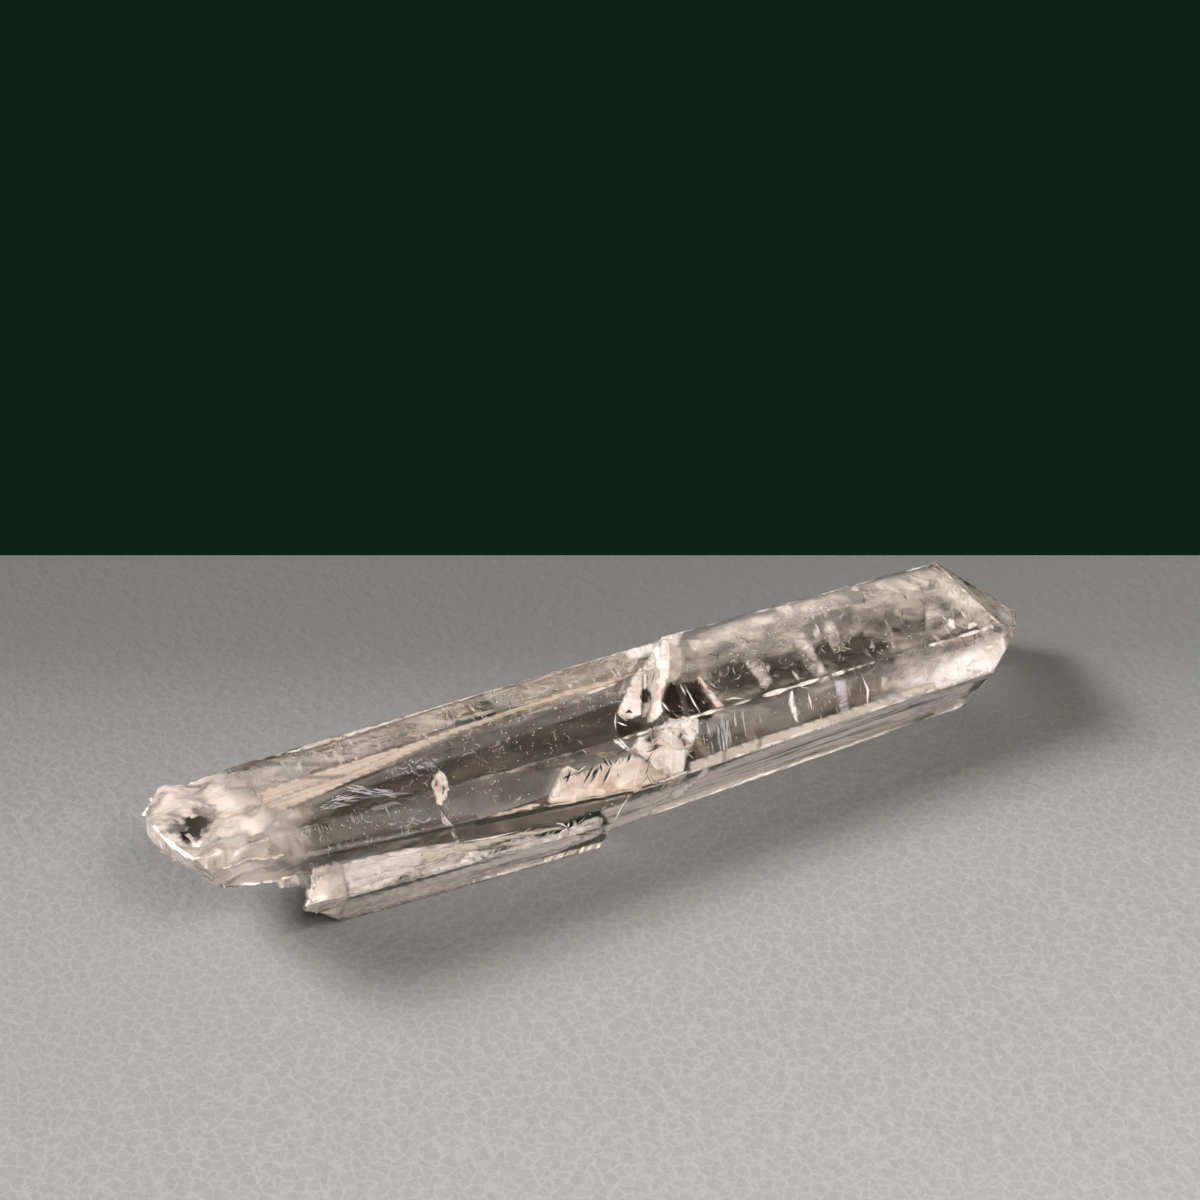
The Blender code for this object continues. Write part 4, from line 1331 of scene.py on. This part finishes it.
flaw("rider_lights", spark,
     (strip([(338, 919), (400, 906), (470, 886), (540, 863), (600, 839)], 4.0),
      dict(depth=0.15, through=(450, 888), rim=0.8)),
     (strip([(335, 868), (372, 861), (430, 853), (480, 846)], 3.0), dict(depth=0.3, through=(420, 868),
     rim=1.0)),
     (strip([(420, 884), (470, 870), (530, 852)], 2.5), dict(depth=0.3, through=(420, 868), rim=1.0)),
     (strip([(362, 874), (378, 870), (394, 866)], 1.4), dict(depth=0.3, through=(420, 868), rim=0.5)),
     (strip([(370, 864), (379, 871), (386, 880)], 1.4), dict(depth=0.3, through=(420, 868), rim=0.5)),
     (strip([(380, 862), (379, 871), (376, 882)], 1.2), dict(depth=0.3, through=(420, 868), rim=0.5)),
     ([(458, 862), (466, 852), (470, 862), (500, 848), (476, 866), (480, 878), (467, 869), (450, 872)],
      dict(depth=0.3, through=(420, 868), rim=2.0)))

# %% [markdown]
# Under a lens, natural quartz is full of fine threads, flakes and specks. They are far too many to
# draw one by one, so seeded random numbers scatter them: each is a short curved strip or a tiny
# flake, somewhere under a face, and a region's strips are all one piece.

# %% Threads
THREAD_STEPS = 5                        # faces of one thread
THREAD_ENDS = (0.06, 0.94)              # keeps both ends of a thread a little wide


def inside_outline(u, v, outline):
    hit = False
    for (ua, va), (ub, vb) in zip(outline, outline[1:] + outline[:1]):
        if (va > v) != (vb > v) and u < ua + (v - va) * (ub - ua) / (vb - va):
            hit = not hit
    return hit


def add_thread(mesh, u, v, heading, length, width, depth, curl):
    """A curved ribbon of a few faces that starts behind (u, v) and tapers at both ends."""
    face = face_seen(u, v)
    fade_layer = mesh.verts.layers.float["fade"]
    previous = None
    for i in range(THREAD_STEPS + 1):
        t = min(max(i / THREAD_STEPS, THREAD_ENDS[0]), THREAD_ENDS[1])
        half = width / 2 * math.sin(math.pi * t)
        side = Vector((-math.sin(heading), math.cos(heading))) * half
        here = []
        for sign in (1.0, -1.0):
            co = look_in(u + side.x * sign, v + side.y * sign, face, depth=depth * MM)
            corner = mesh.verts.new(co)
            corner[fade_layer] = 1.0
            here.append(corner)
        if previous:
            mesh.faces.new((previous[0], previous[1], here[1], here[0]))
        previous = here
        u += math.cos(heading) * length / THREAD_STEPS
        v += math.sin(heading) * length / THREAD_STEPS
        heading += curl / THREAD_STEPS


def scatter(name, material, seed, *regions):
    """Threads strewn over regions: (outline, how many, length, width, depth, heading, spread, curl)."""
    dice = random.Random(seed)
    mesh = bmesh.new()
    mesh.verts.layers.float.new("fade")
    for outline, count, length, width, depth, heading, spread, curl in regions:
        us, vs = [p[0] for p in outline], [p[1] for p in outline]
        made = 0
        while made < count:
            u, v = dice.uniform(min(us), max(us)), dice.uniform(min(vs), max(vs))
            crowd = noise.noise(Vector((u / 22.0, v / 22.0, seed)))
            if not inside_outline(u, v, outline) or crowd < dice.uniform(-0.25, 0.35):
                continue
            if crisp_tree.ray_cast(CAMERA_PLACE, sight(u, v))[0] is None:
                continue
            turn = math.radians(heading + dice.uniform(-spread, spread))
            add_thread(mesh, u, v, turn, dice.uniform(*length), dice.uniform(*width), dice.uniform(*depth),
                       math.radians(dice.uniform(-curl, curl)))
            made += 1
    inner_piece(name, mesh, material)


print("faces of one thread:", THREAD_STEPS)

# %% [markdown]
# The threads are strewn region by region, because each part of the crystal has its own kind and
# direction of them. A region is an outline, like a sheet's. How many threads it gets, and how long,
# wide and deep they are, is said where it is strewn.

# %% Regions
TOP_LEFT = [(320, 800), (360, 785), (400, 762), (450, 738), (500, 720), (560, 700), (612, 690),
            (612, 715), (570, 750), (520, 764), (450, 785), (400, 792)]
STRIP = [(255, 765), (330, 742), (450, 705), (560, 672), (625, 650), (630, 668), (560, 686), (450, 726),
         (340, 762), (260, 790)]
ROOT = [(155, 795), (200, 782), (250, 768), (300, 755), (300, 840), (270, 870), (215, 872), (165, 850)]
FRONT_LEFT = [(300, 820), (400, 800), (520, 775), (540, 795), (460, 818), (380, 845), (320, 855)]
POINT_TOP = [(690, 640), (740, 622), (860, 590), (930, 570), (1000, 612), (985, 628), (860, 664), (710, 705)]
POINT_FRONT = [(700, 725), (860, 680), (980, 645), (975, 668), (860, 705), (710, 758)]
SEAM_ZONE = [(618, 720), (628, 680), (650, 650), (690, 640), (712, 690), (700, 720), (690, 780),
             (650, 785), (625, 750)]
RIDER_ZONE = [(330, 892), (360, 866), (440, 853), (560, 830), (590, 818), (560, 836), (480, 860), (400, 884)]
LOWER_ZONE = [(360, 902), (440, 876), (540, 845), (620, 815), (720, 775), (850, 730), (960, 692),
              (930, 715), (800, 765), (660, 812), (560, 848), (400, 900)]
STREAK_HIGH = [(344, 784), (392, 788), (400, 796), (348, 794)]
STREAK_LOW = [(310, 810), (336, 796), (372, 796), (376, 804), (316, 812)]
SILVER_TOP = [(392, 766), (430, 752), (442, 768), (402, 782)]
SILVER_FRONT = [(386, 824), (430, 812), (448, 822), (400, 837)]
SILVER_LEFT = [(296, 826), (318, 818), (330, 850), (306, 858)]
STREAK_FRONT = [(702, 722), (744, 706), (746, 730), (706, 746)]

print("places on the outline of the seam's region:", len(SEAM_ZONE))

# %% [markdown]
# Now the regions are strewn: pale threads, silvery fibres, milky ribs, bright specks and dark
# threads. The bright specks are painted sparkles, tiny highlights where light glints in the
# crystal. Each kind has its own seed, so that it comes out the same on every run, and a change to
# one kind leaves the others as they are.

# %% Threads and specks
scatter("pale_threads", thread, 11,
        (TOP_LEFT, 180, (3, 8), (0.5, 1.1), (0.3, 4.0), -30, 60, 160),
        (STRIP, 260, (3, 9), (0.6, 1.4), (0.3, 2.0), 60, 60, 160),
        (ROOT, 90, (4, 12), (0.6, 1.3), (0.25, 0.6), 0, 180, 180),
        (FRONT_LEFT, 110, (3, 8), (0.5, 1.0), (0.3, 2.5), 70, 50, 160),
        (POINT_TOP, 220, (3, 10), (0.6, 1.5), (0.3, 3.0), 50, 60, 120),
        (POINT_FRONT, 50, (4, 12), (0.5, 1.1), (0.3, 1.5), 75, 15, 30),
        (SEAM_ZONE, 130, (5, 18), (0.5, 1.3), (0.3, 2.0), 60, 80, 80),
        (RIDER_ZONE, 150, (5, 26), (0.5, 1.4), (0.2, 1.0), -20, 30, 40),
        (LOWER_ZONE, 90, (5, 22), (0.5, 1.2), (0.3, 2.0), -18, 20, 30))
scatter("silver_fibres", silver, 15,
        (STREAK_HIGH, 34, (5, 20), (0.5, 1.4), (0.5, 1.4), 5, 10, 8),
        (STREAK_LOW, 34, (5, 20), (0.5, 1.3), (0.5, 1.4), -10, 12, 8),
        (STREAK_FRONT, 30, (6, 26), (0.5, 1.7), (0.4, 1.2), 82, 5, 8),
        (SILVER_TOP, 34, (3, 9), (0.4, 0.9), (0.3, 1.2), 20, 50, 40),
        (SILVER_FRONT, 30, (3, 9), (0.4, 0.9), (0.3, 1.2), -15, 35, 40),
        (SILVER_LEFT, 20, (3, 8), (0.4, 0.8), (0.3, 1.0), 60, 40, 40))
scatter("strip_ribs", milky, 14,
        (STRIP, 45, (8, 20), (1.5, 4.0), (0.3, 1.0), 62, 14, 30),
        (POINT_TOP, 25, (8, 22), (2.0, 5.0), (0.5, 1.5), 60, 14, 40))
# Painted highlights: tiny sparkles strewn over the faces.
scatter("painted_sparkle_specks", spark, 12,
        (TOP_LEFT, 60, (0.8, 1.8), (0.6, 1.5), (0.15, 2.0), 0, 180, 0),
        (STRIP, 40, (0.8, 1.8), (0.6, 1.5), (0.15, 1.0), 0, 180, 0),
        (ROOT, 30, (0.8, 1.8), (0.6, 1.5), (0.15, 0.4), 0, 180, 0),
        (FRONT_LEFT, 30, (0.8, 1.8), (0.6, 1.5), (0.15, 2.0), 0, 180, 0),
        (POINT_TOP, 60, (0.8, 2.2), (0.6, 1.7), (0.15, 2.0), 0, 180, 0),
        (POINT_FRONT, 20, (0.8, 1.8), (0.6, 1.5), (0.15, 1.0), 0, 180, 0),
        (RIDER_ZONE, 20, (0.8, 2.2), (0.6, 1.7), (0.15, 1.0), 0, 180, 0))
scatter("dark_threads", dark, 13,
        (TOP_LEFT, 70, (4, 12), (0.4, 0.9), (0.3, 4.0), -20, 40, 60),
        (STRIP, 60, (3, 9), (0.4, 0.9), (0.3, 2.0), 60, 60, 160),
        (POINT_TOP, 70, (3, 12), (0.5, 1.2), (0.3, 3.0), 50, 60, 120),
        (SEAM_ZONE, 70, (4, 16), (0.4, 1.2), (0.2, 1.5), 60, 80, 60),
        (RIDER_ZONE, 50, (4, 18), (0.4, 1.0), (0.3, 1.2), -20, 30, 40))

print("flaw pieces:", len(made_flaws))
